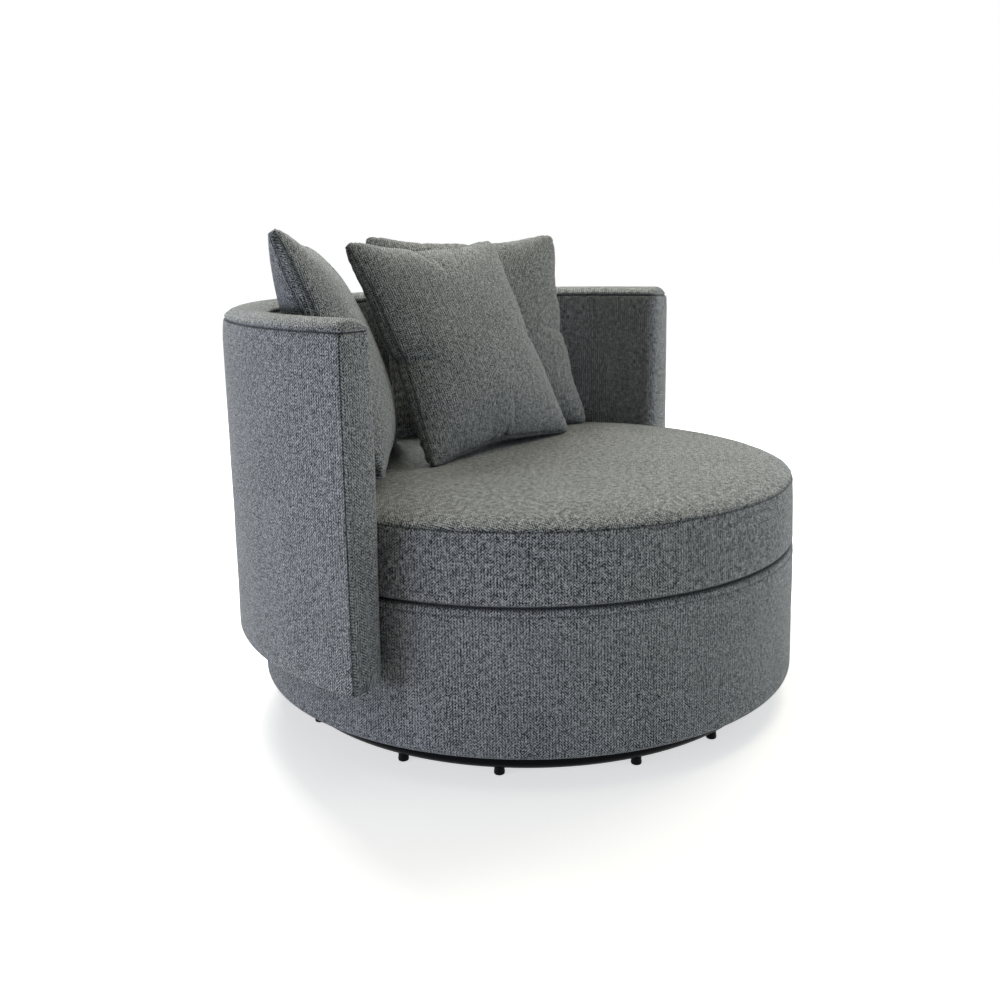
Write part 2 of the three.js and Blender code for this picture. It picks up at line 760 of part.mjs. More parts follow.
// The side pillows lean on the shell and meet in the middle of the back, and the third stands before them
const pillowHalf = pillowSide / 2;
const pillowRay = Math.sqrt(shellInner ** 2 - pillowHalf ** 2) - pillowDepthShare * pillowSide;
const pillowTurn = Math.atan2(pillowHalf, pillowRay);
function sidePillow(name, side) {
  const slide = pillowSlideShare * pillowSide;
  return {
    name,
    x: side * (pillowRay * Math.sin(pillowTurn) + slide * Math.cos(pillowTurn)),
    y: pillowRay * Math.cos(pillowTurn) - slide * Math.sin(pillowTurn) - shellForward,
    turn: -side * pillowTurn,
  };
}
function frontPillow(left) {
  const meeting = left.y - (pillowHalf + left.x) * Math.tan(pillowTurn);
  return {
    name: "front",
    x: pillowFrontShare * pillowSide,
    y: meeting - pillowRoomShare * pillowThick,
    turn: radians(pillowFrontTurn),
  };
}

function buildPillow(cushion, place) {
  const zip = new THREE.BoxGeometry(zipWide, zipGap, 2 * pillowHem + 2 * pillowPullShare * pillowSide);
  const cavity = pillowBody(pillowSide - 2 * pillowHem, pillowThick - 2 * pillowCloth, zipGap, fillingGrid);
  const cover = pillowBody(pillowSide, pillowThick, pillowEdge, pillowGrid)
    .subtract(cavity)
    .subtract(toSolid(zip));
  const fillingSide = pillowSide - 2 * pillowHem - 2 * pillowCloth;
  const fillingThick = pillowThick - 4 * pillowCloth;
  const filling = pillowBody(fillingSide, fillingThick, zipGap / 2, fillingGrid);

  const group = new THREE.Group();
  group.rotation.set(-radians(pillowLeans[place.name]), 0, place.turn, "ZXY");
  group.position.set(place.x, place.y, 0);
  const shown = addMesh(group, "pillow_" + place.name + "_cover", cover, "pillowCloth");
  addMesh(group, "pillow_" + place.name + "_filling", filling, "filling");

  // The pillow comes down until its lowest point meets the crown of the seat
  group.updateMatrix();
  const point = new THREE.Vector3();
  const position = shown.geometry.getAttribute("position");
  let drop = Infinity;
  for (let i = 0; i < position.count; i++) {
    point.fromBufferAttribute(position, i).applyMatrix4(group.matrix);
    drop = Math.min(drop, point.z - crownHeight(point.x, point.y));
  }
  group.position.z = fit - drop;
  cushion.add(group);
}

const chair = new THREE.Group();
chair.position.set(0, swivelY, 0);
const base = new THREE.Group();
const seat = new THREE.Group();
const cushion = new THREE.Group();
chair.add(base, seat);
seat.add(cushion);

buildBase(base);
buildSwivelPlate(seat);
buildDrum(seat);
buildShell(seat);
buildCushion(cushion);
const leftPlace = sidePillow("left", -1);
const rightPlace = sidePillow("right", 1);
for (const place of [frontPillow(leftPlace), leftPlace, rightPlace]) buildPillow(cushion, place);

export default chair;
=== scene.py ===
"""Dresses the swivel cuddle chair: upholstery, loose cushion and pillows, steel base, camera and studio.

Lengths are in metres and angles in degrees unless a name says otherwise. +Z is up and the seat faces -Y.
"""

import json
import math

import bpy
import numpy as np
from mathutils import Matrix, Vector


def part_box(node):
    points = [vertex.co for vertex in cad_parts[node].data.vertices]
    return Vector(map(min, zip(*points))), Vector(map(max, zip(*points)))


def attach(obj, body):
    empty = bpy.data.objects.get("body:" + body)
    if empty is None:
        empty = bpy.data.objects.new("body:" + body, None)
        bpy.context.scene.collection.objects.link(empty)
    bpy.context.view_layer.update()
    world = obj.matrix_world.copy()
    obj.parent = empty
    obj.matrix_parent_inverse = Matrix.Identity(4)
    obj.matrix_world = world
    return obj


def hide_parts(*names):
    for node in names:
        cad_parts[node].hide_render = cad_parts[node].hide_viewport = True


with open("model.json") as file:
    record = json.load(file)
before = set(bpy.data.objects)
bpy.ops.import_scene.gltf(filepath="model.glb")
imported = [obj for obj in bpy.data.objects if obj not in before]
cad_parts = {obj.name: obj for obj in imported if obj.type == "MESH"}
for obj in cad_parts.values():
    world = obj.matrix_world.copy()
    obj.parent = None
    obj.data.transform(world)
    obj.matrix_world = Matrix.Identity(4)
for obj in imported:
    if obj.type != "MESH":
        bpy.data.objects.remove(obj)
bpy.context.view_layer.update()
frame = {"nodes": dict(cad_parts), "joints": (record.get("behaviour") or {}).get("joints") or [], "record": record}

# Camera, fitted to the photograph's frame of 1000 by 1000 pixels
CAMERA_FROM_AXIS = Vector((-1.7630, -1.0066, 0.8064))
CAMERA_AZIMUTH = -58.987
CAMERA_ELEVATION = 8.109
CAMERA_ROLL = -0.691
CAMERA_LENS_MM = 40.32
CAMERA_SENSOR_MM = 36.0
CAMERA_SHIFT_Y = -0.1

# Studio. Each lamp is its name, place, target, size in metres, power in watts and colour.
WHITE = (1.0, 1.0, 1.0)
WORLD_STRENGTH = 0.10
WORLD_COLOUR = (0.86, 0.94, 1.0)
LAMPS = (
    ("overhead", (0.2, 0.0, 3.0), (0, 0, 0.4), (3.0, 3.0), 22, (1.0, 0.955, 0.68)),
    ("back_top", (0.9, 1.8, 2.6), (0, 0, 0.4), (1.4, 1.4), 108, (0.995, 1.0, 0.93)),
    ("left", (-3.2, 1.4, 0.45), (0, 0, 0.4), (2.2, 0.7), 55, (0.80, 0.84, 1.0)),
    ("front_low", (0.6, -3.0, 0.3), (0, 0, 0.3), (3.0, 0.5), 26, (0.80, 0.90, 1.0)),
    ("right", (3.0, -1.2, 1.1), (0, 0, 0.4), (2.0, 1.6), 16, (0.915, 0.985, 1.0)),
    ("top_right", (1.6, -0.6, 2.4), (0, 0, 0.4), (1.2, 1.2), 25, (1.0, 0.94, 0.80)),
)

# Floor: half its side, the distances between which its glow rises to that of the backdrop, and its surface
FLOOR_HALF = 30
FLOOR_NEAR = 1.0
FLOOR_FAR = 3.0
FLOOR_GLOW = 0.62
FLOOR_SURFACE = {"Base Color": (0.86, 0.86, 0.86, 1.0), "Roughness": 0.9, "Specular IOR Level": 0.0}

# Sizes that the frame gives
drum_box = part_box("drum_cover")
shell_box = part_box("shell_cover")
cushion_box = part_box("seat_cushion_cover")
AXIS = Vector(next(joint for joint in frame["joints"] if joint["name"] == "swivel")["pos_m"])
DRUM_RADIUS = drum_box[1].x
DRUM_LOW = drum_box[0].z
DRUM_TOP = drum_box[1].z
SHELL_BOTTOM = shell_box[0].z
CUSHION_LOW = cushion_box[0].z

# A pair named FADE holds the two distances above a height between which something fades in.

# Drum. Its wall has a ledge under the shell, above which it keeps clear of the shell's inner face.
DRUM_CORNER = 0.013
DRUM_SHOULDER = 0.010
DRUM_LIP = 0.035
DRUM_SEAM_DROP = 0.0135
DRUM_SEAM_SHARE = 0.5
DRUM_FOOT_ROWS = 8
DRUM_WALL_ROWS = 9
DRUM_LOW_FADE = (0, 0.04)
DRUM_TOP_FADE = (-0.02, 0)
DRUM_FOOT_FADE = (0, 0.03)
DRUM_TO_SHELL = 0.002
LEDGE_DROP = 0.0006
LEDGE_CORNER = 0.004
# Painted shade on the drum under the shell's overhang: its strength, and the heights below the ledge over which it
# fades out
OVERHANG_SHADE = 0.40
OVERHANG_FADE = (-0.11, 0)
# Painted shade over the drum's deck under the cushion, fading in just below its top
DECK_SHADE_FADE = (-0.006, -0.001)
DECK_INSETS = (0.05, 0.12, 0.3, 0.6, 0.9)
DEEP_INSET = 0.12

# Back shell, an arc about a centre that lies forward of the swivel axis
SHELL_FORWARD = 0.063
SHELL_INNER = 0.4896
SHELL_THICK = 0.079
SHELL_MIDDLE = SHELL_INNER + SHELL_THICK / 2
SHELL_FLARE = 0.0085
SHELL_SEAM = 0.684
SHELL_CROWN = 0.018
SHELL_OUTER_CORNER = 0.005
SHELL_INNER_CORNER = 0.026
SHELL_SHOULDER = 0.026
SHELL_SHOULDER_IN = 0.0045
SHELL_TURN = 2.45
SHELL_COLUMNS = 210
SHELL_WALL_ROWS = 26
SHELL_CORNER_STEPS = 8
SHELL_CROWN_STEPS = 18
SHELL_LOW_FADE = (0, 0.03)
SHELL_TOP_FADE = (-0.01, 0.01)
# Painted shade along the lower edge of the outer side fades out over this height
SHELL_LOW_SHADE_FADE = (0, 0.003)

# Rounded edges of the arms' ends. The seam down the outer edge, a groove with painted shade in it, has its place
# and width in degrees of the rounding, and EDGE_ROOM keeps the wall's columns clear of it.
EDGE_OUTER = 0.0045
EDGE_INNER = 0.022
EDGE_TOP = 0.014
EDGE_LOW = 0.003
EDGE_STEPS = 10
EDGE_ROOM = 1.6
EDGE_TOP_FADE = (-0.008, 0)
EDGE_SEAM_ANGLE = 45
EDGE_SEAM_WIDTH = 12
EDGE_SEAM_SHARE = 0.6
CAP_COLUMNS = 12
CAP_BULGE = 0.0025
CAP_LOW_FADE = (0, 0.05)
CAP_TOP_FADE = (-0.05, 0)

# Seat cushion. Insets are shares of the drum's radius. TOP_INSETS is the first, the last and their number.
CUSHION_SEAM = 0.3936
CUSHION_CROWN = 0.026
CUSHION_EDGE = 0.009
CUSHION_SIDE_IN = 0.003
CUSHION_SIDE_ROWS = 10
CUSHION_TO_SHELL = 0.004
CUSHION_SHOULDER_SHARE = 0.35
CUSHION_SHOULDER = 0.010
CUSHION_DOME = 0.080
CUSHION_RISE = 0.0010
CUSHION_SEAM_SHARE = 0.8
CUSHION_TOP_FADE = (0.01, 0.12)
CUSHION_SIDE_FADE = (0.005, 0.03)
# Painted shade under the cushion fades out over these heights above its underside
CUSHION_SHADE_FADE = (0.001, 0.005)
UNDER_INSETS = (0.9, 0.5, 0.2, 0.06)
SHOULDER_INSETS = (0.026, 0.038, 0.055, 0.08, 0.115)
TOP_INSETS = (0.16, 0.97, 16)

# Unevenness of the covers, as fields of waves that each have a seed, a wavelength and a height
DRUM_UNEVEN = ((12, 0.30, 0.0007), (13, 0.07, 0.0002))
SHELL_UNEVEN = ((21, 0.34, 0.0009), (22, 0.08, 0.0002))
CUSHION_TOP_UNEVEN = ((32, 0.26, 0.0009), (33, 0.09, 0.0003))
CUSHION_SIDE_UNEVEN = ((34, 0.22, 0.0008), (35, 0.06, 0.0002))

# Puckers along a seam: a field's seed, wavelength and height, and how far it reaches from the seam
DRUM_PUCKER = (11, 0.035, 0.0003, 0.012)
SHELL_PUCKER = (23, 0.04, 0.0004, 0.014)
CUSHION_PUCKER = (31, 0.034, 0.0006, 0.016)

# Pillows, each as name, turn about Z, lean back from upright, tilt of its left side upwards and seed
PILLOWS = (
    ("front", -5.6, 26.4, 0, 41),
    ("left", 35.39, 22, 4.5, 42),
    ("right", -35.39, 22, 0, 43),
)
PILLOW_SIDE = 0.430
PILLOW_THICK = 0.130
PILLOW_FULLNESS = 0.42
PILLOW_PULL_SHARE = 0.04
PILLOW_CELLS = 56
PILLOW_EVEN_SHARE = 0.55
PILLOW_CORNER_SHARE = 0.04
PILLOW_CORNER_POWER = 10
PILLOW_FOLD_SHARE = 0.5
PILLOW_REST = 0.004

# Cloth simulation of a pillow: its cover is cut larger, bows out between its corners and starts uneven
CUT_SIDE = 0.436
CUT_BOW = 0.018
START_SHARE = 0.85
START_UNEVEN = (0.11, 0.004)
SIMULATED_FRAMES = 20
CLOTH_SETTINGS = {
    "quality": 6,
    "mass": 0.2,
    "air_damping": 3,
    "tension_stiffness": 30,
    "compression_stiffness": 15,
    "shear_stiffness": 8,
    "bending_stiffness": 1,
    "use_pressure": True,
    "uniform_pressure_force": 4.0,
    "use_pressure_volume": True,
    "target_volume": 0.0130,
    "pressure_factor": 40.0,
}

# Folds that run in from a pillow's seams. Each side has its share of the reach and its height, and the left
# side's folds grow towards the lower corner. WOBBLE and STRENGTH add to the seed and have a wavelength.
FOLD_REACH = 0.045
FOLD_SPACING = 0.021
FOLD_LEFT = (1.0, 0.0030)
FOLD_RIGHT = (0.6, 0.0008)
FOLD_LOW = (0.7, 0.0014)
FOLD_TOP = (0.5, 0.0006)
FOLD_START_FADE = (0, 0.006)
FOLD_LEAST = 0.12
FOLD_LEAST_FADE = (-0.16, 0)
FOLD_WOBBLE = (10, 0.09)
FOLD_SHIFT = 0.006
FOLD_STRENGTH = (20, 0.12)

# Groove beside a pillow's seam, with painted shade in it, which makes the seam stand out as a thin edge
PIPE_PLACE = 0.0042
PIPE_WIDTH = 0.0020
PIPE_DEPTH = 0.0014
PIPE_SHADE = 0.7

# Base
RING_RADIUS = 0.419
RING_TUBE = 0.016
RING_RISE = 0.0275
RING_AROUND = 160
RING_SIDES = 28
GLIDE_PAD = 0.0085
GLIDE_STEM = 0.008
GLIDE_PAD_THICK = 0.005
GLIDE_EDGE = 0.0025
GLIDE_COUNT = 14
GLIDE_START = -167.2
GLIDE_PAIR_TURN = 10.9
GLIDE_PER_PAIR = 2
GLIDE_AROUND = 32
GLIDE_STEPS = 4

# Seams: groove, ridges beside it in half-widths of the groove, and distances of the rows on each side
SEAM_DEPTH = 0.0020
SEAM_HALF_WIDTH = 0.0016
SEAM_RIDGE = 0.0007
SEAM_RIDGE_PLACE = 3
SEAM_RIDGE_WIDTH = 2
SEAM_ROWS = np.array(
    [-0.012, -0.008, -0.0055, -0.0038, -0.0024, -0.0012, 0, 0.0012, 0.0024, 0.0038, 0.0055, 0.008]
)

# Meshes: points round the axis, steps of a rounded corner, and the waves of a field with their shares of its
# wavelength. SEAM_CLEAR keeps puckers off the seam's own row, and TINY guards a division.
AROUND = 360
CORNER_STEPS = 6
WAVE_COUNT = 9
WAVE_SPREAD = (0.6, 1.6)
TOLERANCE = 0.0001
SEAM_CLEAR = 0.0005
TINY = 1e-12

# Cloth weave: bands and pitches of the twill, and the shares of each part in how light a yarn is
WEAVE_BAND = 0.011
WEAVE_PITCH = 0.0044
YARN_PITCH = 0.0046
YARN_EDGE = 0.6
YARN_BASE = 0.02
TWILL_SHARE = 0.42
DOTS_SHARE = 0.22
TWILL_RELIEF = 0.6
FLECK_RELIEF = 0.8
CLOTH_BUMP = (0.0007, 0.7)
# Share of the dark yarn colour that full painted shade mixes into the cloth
PAINTED_SHADE_STRENGTH = 0.85

# Noise in the cloth: size of a cell along and up the weave, roughness and share
FLECK = (0.0026, 0.0030, 0.7, 0.95)
WARP = (0.0024, 0.012, 0.6, 0.40)
BODY_SLUB = (0.008, 0.008, 0.6, 0.26)
TOP_SLUB = (0.009, 0.009, 0.6, 0.40)
STREAK = (0.012, 0.150, 0.5, 0.08)
CLOUD = (0.09, 0.09, 0.5, 0.05)
CLOTH_DETAIL = 2.0
CLOTH_RANGE = (0.32, 0.68)

# Grain of the other materials
GRAIN_DETAIL = 4.0
GRAIN_ROUGHNESS = 0.6
GRAIN_RANGE = (0.3, 0.7)
GRAIN_GLOSS = 0.06
GRAIN_BUMP = 0.5

# Colours and surfaces
CLOTH_DARK = (0.008, 0.009, 0.010)
CLOTH_LIGHT = (0.520, 0.536, 0.546)
BODY_LIGHT = (0.550, 0.567, 0.580)
CLOTH_SURFACE = {
    "Roughness": 0.92,
    "Specular IOR Level": 0.15,
    "Sheen Weight": 0.20,
    "Sheen Roughness": 0.45,
    "Sheen Tint": (0.92, 0.95, 1.0, 1.0),
}

# Cloths, each as its slot, name, light yarn and slub
CLOTHS = (
    ("cloth", "body_cloth", BODY_LIGHT, BODY_SLUB),
    ("cushion_cloth", "cushion_cloth", CLOTH_LIGHT, TOP_SLUB),
    ("pillow_cloth", "pillow_cloth", CLOTH_LIGHT, BODY_SLUB),
)

# Grained materials, each as slot, name, dark and light colour, size of a grain along X, Y and Z, roughness
# and height of the grain, and then its share of metal and specular level where these aren't 0 and SPECULAR
SPECULAR = 0.5
GRAINED = (
    (
        "black_steel", "black_paint", (0.0010, 0.0016, 0.0020), (0.0020, 0.0028, 0.0034), (0.004,) * 3,
        0.30, 2e-5, 0, 0.06,
    ),
    (
        "glide_plastic", "black_plastic", (0.0025, 0.0025, 0.003), (0.005, 0.005, 0.006), (0.0012,) * 3,
        0.5, 5e-5, 0, 0.08,
    ),
    ("zinc_steel", "zinc_plate", (0.36, 0.37, 0.38), (0.56, 0.57, 0.58), (0.006,) * 3, 0.38, 3e-5, 1),
    ("ball_steel", "ball_steel", (0.52, 0.53, 0.54), (0.62, 0.63, 0.64), (0.002,) * 3, 0.2, 1e-5, 1),
    ("lining", "lining", (0.010, 0.010, 0.011), (0.030, 0.030, 0.032), (0.0015,) * 3, 0.85, 0.0002),
    ("foam", "foam", (0.62, 0.55, 0.36), (0.80, 0.74, 0.56), (0.0015,) * 3, 0.95, 0.0004),
    ("filling", "wadding", (0.78, 0.77, 0.73), (0.92, 0.91, 0.88), (0.004,) * 3, 0.95, 0.0008),
    ("webbing", "webbing", (0.030, 0.028, 0.025), (0.075, 0.068, 0.058), (0.002,) * 3, 0.85, 0.0003),
    ("timber", "timber", (0.42, 0.27, 0.12), (0.62, 0.44, 0.24), (0.004, 0.004, 0.10), 0.7, 0.0002),
    ("plywood", "plywood", (0.48, 0.33, 0.17), (0.68, 0.52, 0.32), (0.09, 0.006, 0.0015), 0.7, 0.0002),
    ("hardboard", "hardboard", (0.13, 0.075, 0.035), (0.24, 0.145, 0.075), (0.0015,) * 3, 0.75, 0.0001),
)


# Numbers over a surface


def waves(seed, wavelength):
    """A smooth uneven field between about -1 and 1, made of seeded sine waves."""
    rng = np.random.default_rng(seed)
    directions = rng.normal(size=(WAVE_COUNT, 3))
    directions /= np.linalg.norm(directions, axis=1, keepdims=True)
    directions /= wavelength * rng.uniform(*WAVE_SPREAD, size=(WAVE_COUNT, 1))
    phases = rng.uniform(0, 2 * math.pi, WAVE_COUNT)

    def field(points):
        turns = points @ directions.T
        return np.sin(2 * math.pi * turns + phases).sum(axis=-1) / math.sqrt(WAVE_COUNT)

    return field


def uneven(fields, points, rise=0):
    """An even rise and the sum of several fields of waves."""
    return sum((height * waves(seed, wavelength)(points) for seed, wavelength, height in fields), rise)


def puckers(pucker, points, distance):
    """A field of waves that fades away from a seam."""
    seed, wavelength, height, reach = pucker
    return height * (waves(seed, wavelength)(points) * np.exp(-np.abs(distance) / reach))


def seam_groove(distance):
    """Height of the cloth at a distance from a seam: a narrow groove between two low ridges."""
    near = np.abs(distance) / SEAM_HALF_WIDTH
    ridge_distance = (near - SEAM_RIDGE_PLACE) / SEAM_RIDGE_WIDTH
    return SEAM_RIDGE * np.exp(-(ridge_distance**2)) - SEAM_DEPTH * np.exp(-(near**2))


def seam_shade(distance):
    """Painted shade in a seam's groove, at a distance from the seam."""
    return np.exp(-((distance / SEAM_HALF_WIDTH) ** 2))


def fade(base, distances, value):
    """Rises smoothly from 0 to 1 while a value goes from the first distance above a base to the second."""
    low = base + distances[0]
    high = base + distances[1]
    share = np.clip((value - low) / (high - low), 0, 1)
    return share * share * (3 - 2 * share)


def surface_normals(points, wrap):
    """Unit normals of a grid of points. The columns join up where wrap is true."""
    along_rows = np.gradient(points, axis=0)
    if wrap:
        along_columns = np.roll(points, -1, axis=1) - np.roll(points, 1, axis=1)
    else:
        along_columns = np.gradient(points, axis=1)
    normals = np.cross(along_columns, along_rows)
    lengths = np.linalg.norm(normals, axis=-1, keepdims=True)
    return normals / np.maximum(lengths, TINY)


def path_length(points):
    """Distance along a line of points, starting at zero."""
    steps = np.linalg.norm(np.diff(points, axis=0), axis=-1)
    return np.concatenate([[0.0], np.cumsum(steps)])


def arc(from_angle, to_angle, steps):
    return np.radians(np.linspace(from_angle, to_angle, steps + 1))


def round_points(count):
    """Angles in radians of points evenly spread round a circle."""
    return np.linspace(0, 2 * math.pi, count, endpoint=False)


def closed_index(rows, columns):
    """Point numbers of a grid whose last column joins its first."""
    index = np.arange(rows * columns).reshape(rows, columns)
    return np.concatenate([index, index[:, :1]], axis=1)


# Materials


def set_sockets(node, values):
    for name, value in values.items():
        node.inputs[name].default_value = value


def node_material(name):
    material = bpy.data.materials.new(name)
    material.use_nodes = True
    tree = material.node_tree
    return material, tree, tree.nodes["Principled BSDF"]


def math_node(tree, operation, first, second=None, third=None):
    node = tree.nodes.new("ShaderNodeMath")
    node.operation = operation
    for socket, value in zip(node.inputs, (first, second, third)):
        if value is None:
            continue
        if isinstance(value, (int, float)):
            socket.default_value = value
        else:
            tree.links.new(value, socket)
    return node.outputs[0]


def noise_node(tree, vector, detail, roughness):
    node = tree.nodes.new("ShaderNodeTexNoise")
    set_sockets(node, {"Scale": 1.0, "Detail": detail, "Roughness": roughness})
    tree.links.new(vector, node.inputs["Vector"])
    return node.outputs["Fac"]


def cell_vector(tree, along, up, along_size, up_size):
    """Weave coordinates divided by the size of a cell."""
    node = tree.nodes.new("ShaderNodeCombineXYZ")
    tree.links.new(math_node(tree, "DIVIDE", along, along_size), node.inputs[0])
    tree.links.new(math_node(tree, "DIVIDE", up, up_size), node.inputs[1])
    return node.outputs[0]


def mix_colour(tree, share, first, second):
    node = tree.nodes.new("ShaderNodeMix")
    node.data_type = "RGBA"
    colours = [socket for socket in node.inputs if socket.type == "RGBA"]
    tree.links.new(share, node.inputs["Factor"])
    for socket, value in zip(colours, (first, second)):
        if isinstance(value, tuple):
            socket.default_value = (*value, 1.0)
        else:
            tree.links.new(value, socket)
    return next(socket for socket in node.outputs if socket.type == "RGBA")


def ranged(tree, value, low, high, to_low=0.0, to_high=1.0):
    node = tree.nodes.new("ShaderNodeMapRange")
    set_sockets(node, {"From Min": low, "From Max": high, "To Min": to_low, "To Max": to_high})
    tree.links.new(value, node.inputs["Value"])
    return node.outputs["Result"]


def add_bump(tree, shader, height, distance, strength):
    node = tree.nodes.new("ShaderNodeBump")
    set_sockets(node, {"Distance": distance, "Strength": strength})
    tree.links.new(height, node.inputs["Height"])
    tree.links.new(node.outputs["Normal"], shader.inputs["Normal"])


def stripes(tree, place, pitch):
    """Stripes at a pitch, from 0 between them to 1 on them, with soft edges."""
    wave = math_node(tree, "SINE", math_node(tree, "MULTIPLY", place, 2 * math.pi / pitch))
    return ranged(tree, wave, -YARN_EDGE, YARN_EDGE)


def woven_cloth(name, light, slub):
    """Herringbone tweed: light warp yarns over dark weft yarns in twill lines that turn at every band."""
    material, tree, shader = node_material(name)
    weave = tree.nodes.new("ShaderNodeUVMap")
    weave.uv_map = "Weave"
    split = tree.nodes.new("ShaderNodeSeparateXYZ")
    tree.links.new(weave.outputs["UV"], split.inputs[0])
    along, up = split.outputs["X"], split.outputs["Y"]

    zigzag = math_node(tree, "PINGPONG", along, WEAVE_BAND)
    twill = stripes(tree, math_node(tree, "ADD", up, zigzag), WEAVE_PITCH)
    dots = math_node(tree, "MULTIPLY", stripes(tree, along, YARN_PITCH), DOTS_SHARE)
    yarn = math_node(tree, "MULTIPLY_ADD", twill, TWILL_SHARE, dots)
    fields = []
    for along_size, up_size, roughness, share in (FLECK, WARP, slub, STREAK, CLOUD):
        cell = cell_vector(tree, along, up, along_size, up_size)
        field = noise_node(tree, cell, CLOTH_DETAIL, roughness)
        yarn = math_node(tree, "ADD", yarn, ranged(tree, field, *CLOTH_RANGE, -share / 2, share / 2))
        fields.append(field)
    yarn = math_node(tree, "ADD", yarn, YARN_BASE)
    yarn = math_node(tree, "MINIMUM", math_node(tree, "MAXIMUM", yarn, 0.0), 1.0)
    colour = mix_colour(tree, yarn, CLOTH_DARK, light)

    # Painted shade: a point attribute darkens the cloth towards its dark yarn, in seam grooves, under the shell's
    # overhang, on the drum's deck, under the cushion and along the shell's lower outer edge
    seam = tree.nodes.new("ShaderNodeAttribute")
    seam.attribute_name = "Seam"
    shade = math_node(tree, "MULTIPLY", seam.outputs["Fac"], PAINTED_SHADE_STRENGTH)
    tree.links.new(mix_colour(tree, shade, colour, CLOTH_DARK), shader.inputs["Base Color"])
    set_sockets(shader, CLOTH_SURFACE)
    twill_relief = math_node(tree, "MULTIPLY", twill, TWILL_RELIEF)
    fleck_relief = math_node(tree, "MULTIPLY", fields[0], FLECK_RELIEF)
    add_bump(tree, shader, math_node(tree, "ADD", twill_relief, fleck_relief), *CLOTH_BUMP)
    return material


def grained(name, dark, light, cell, roughness, bump, metallic=0, specular=SPECULAR):
    """A surface with a fine uneven grain in three dimensions."""
    material, tree, shader = node_material(name)
    coordinates = tree.nodes.new("ShaderNodeTexCoord")
    mapping = tree.nodes.new("ShaderNodeMapping")
    mapping.inputs["Scale"].default_value = [1 / size for size in cell]
    tree.links.new(coordinates.outputs["Object"], mapping.inputs["Vector"])
    grain = noise_node(tree, mapping.outputs["Vector"], GRAIN_DETAIL, GRAIN_ROUGHNESS)
    colour = mix_colour(tree, ranged(tree, grain, *GRAIN_RANGE), dark, light)
    tree.links.new(colour, shader.inputs["Base Color"])
    gloss = ranged(tree, grain, *GRAIN_RANGE, roughness - GRAIN_GLOSS, roughness + GRAIN_GLOSS)
    tree.links.new(gloss, shader.inputs["Roughness"])
    set_sockets(shader, {"Metallic": metallic, "Specular IOR Level": specular})
    add_bump(tree, shader, grain, bump, GRAIN_BUMP)
    return material


SLOT_MATERIALS = {slot: woven_cloth(*look) for slot, *look in CLOTHS}
SLOT_MATERIALS.update({slot: grained(*look) for slot, *look in GRAINED})
for subpart in frame["record"]["subparts"]:
    node = frame["nodes"][subpart["node"]]
    node.data.materials.clear()
    node.data.materials.append(SLOT_MATERIALS[subpart["material_slot"]])


# Making meshes


class Sheet:
    """Collects points, the painted shade of each from 0 to 1, and faces with weave coordinates at their corners.
    """

    def __init__(self):
        self.points = []
        self.painted_shade = []
        self.faces = []
        self.weave = []

    def add_points(self, points, painted_shade=None):
        start = len(self.points)
        points = points.reshape(-1, 3)
        self.points.extend(points)
        self.painted_shade.extend(np.zeros(len(points)) if painted_shade is None else painted_shade.ravel())
        return start

    def add_faces(self, index, along, up):
        """Quads, or triangles where corners coincide, over a grid of point numbers and weave coordinates."""
        rows, columns = index.shape
        for row in range(rows - 1):
            for column in range(columns - 1):
                corners = [(row, column), (row, column + 1), (row + 1, column + 1), (row + 1, column)]
                face = []
                coordinates = []
                for corner in corners:
                    number = int(index[corner])
                    if number not in face:
                        face.append(number)
                        coordinates.append((along[corner], up[corner]))
                if len(face) > 2:
                    self.faces.append(face)
                    self.weave.extend(coordinates)

    def add_fan(self, centre, rim):
        """Triangles from a point to a closed line of points."""
        for first, after in zip(rim, np.roll(rim, -1)):
            self.faces.append([centre, int(first), int(after)])
            self.weave.extend([(0, 0)] * 3)


def new_object(name, data):
    piece = bpy.data.objects.new(name, data)
    bpy.context.scene.collection.objects.link(piece)
    return piece


def add_piece(name, sheet, body, slot, replaced, woven=True):
    """A mesh that rides on a body and stands for CAD nodes."""
    mesh = bpy.data.meshes.new(name)
    mesh.from_pydata([tuple(point) for point in sheet.points], [], [tuple(face) for face in sheet.faces])
    if woven:
        layer = mesh.uv_layers.new(name="Weave")
        layer.data.foreach_set("uv", np.asarray(sheet.weave, dtype=np.float32).ravel())
        # Painted shade of each point, which the cloth material reads
        shade = mesh.attributes.new("Seam", "FLOAT", "POINT")
        shade.data.foreach_set("value", np.asarray(sheet.painted_shade, dtype=np.float32))
    mesh.shade_smooth()
    piece = new_object(name, mesh)
    mesh.materials.append(SLOT_MATERIALS[slot])
    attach(piece, body)
    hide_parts(*replaced)
    return piece


def ring_sheet(rows, height, painted_shade, panels, open_below):
    """A sheet of rings about the swivel axis. rows holds their points, and panels the weave of row ranges."""
    points = rows + surface_normals(rows, True) * height[..., None]
    sheet = Sheet()
    sheet.add_points(points, painted_shade)
    index = closed_index(len(points), AROUND)
    for first, last, along, up in panels:
        sheet.add_faces(index[first : last + 1], along[first : last + 1], up[first : last + 1])
    centre_low = sheet.add_points(points[:1].mean(axis=1), painted_shade[:1].mean(axis=1))
    centre_high = sheet.add_points(points[-1:].mean(axis=1), painted_shade[-1:].mean(axis=1))
    if not open_below:
        sheet.add_fan(centre_low, index[0, AROUND:0:-1])
    sheet.add_fan(centre_high, index[-1, :-1])
    return sheet


# Outlines about the swivel axis


def shell_ray(angle, radius):
    """Distance from the swivel axis to a circle about the shell's centre."""
    return np.sqrt(radius**2 - (SHELL_FORWARD * np.cos(angle)) ** 2) - SHELL_FORWARD * np.sin(angle)


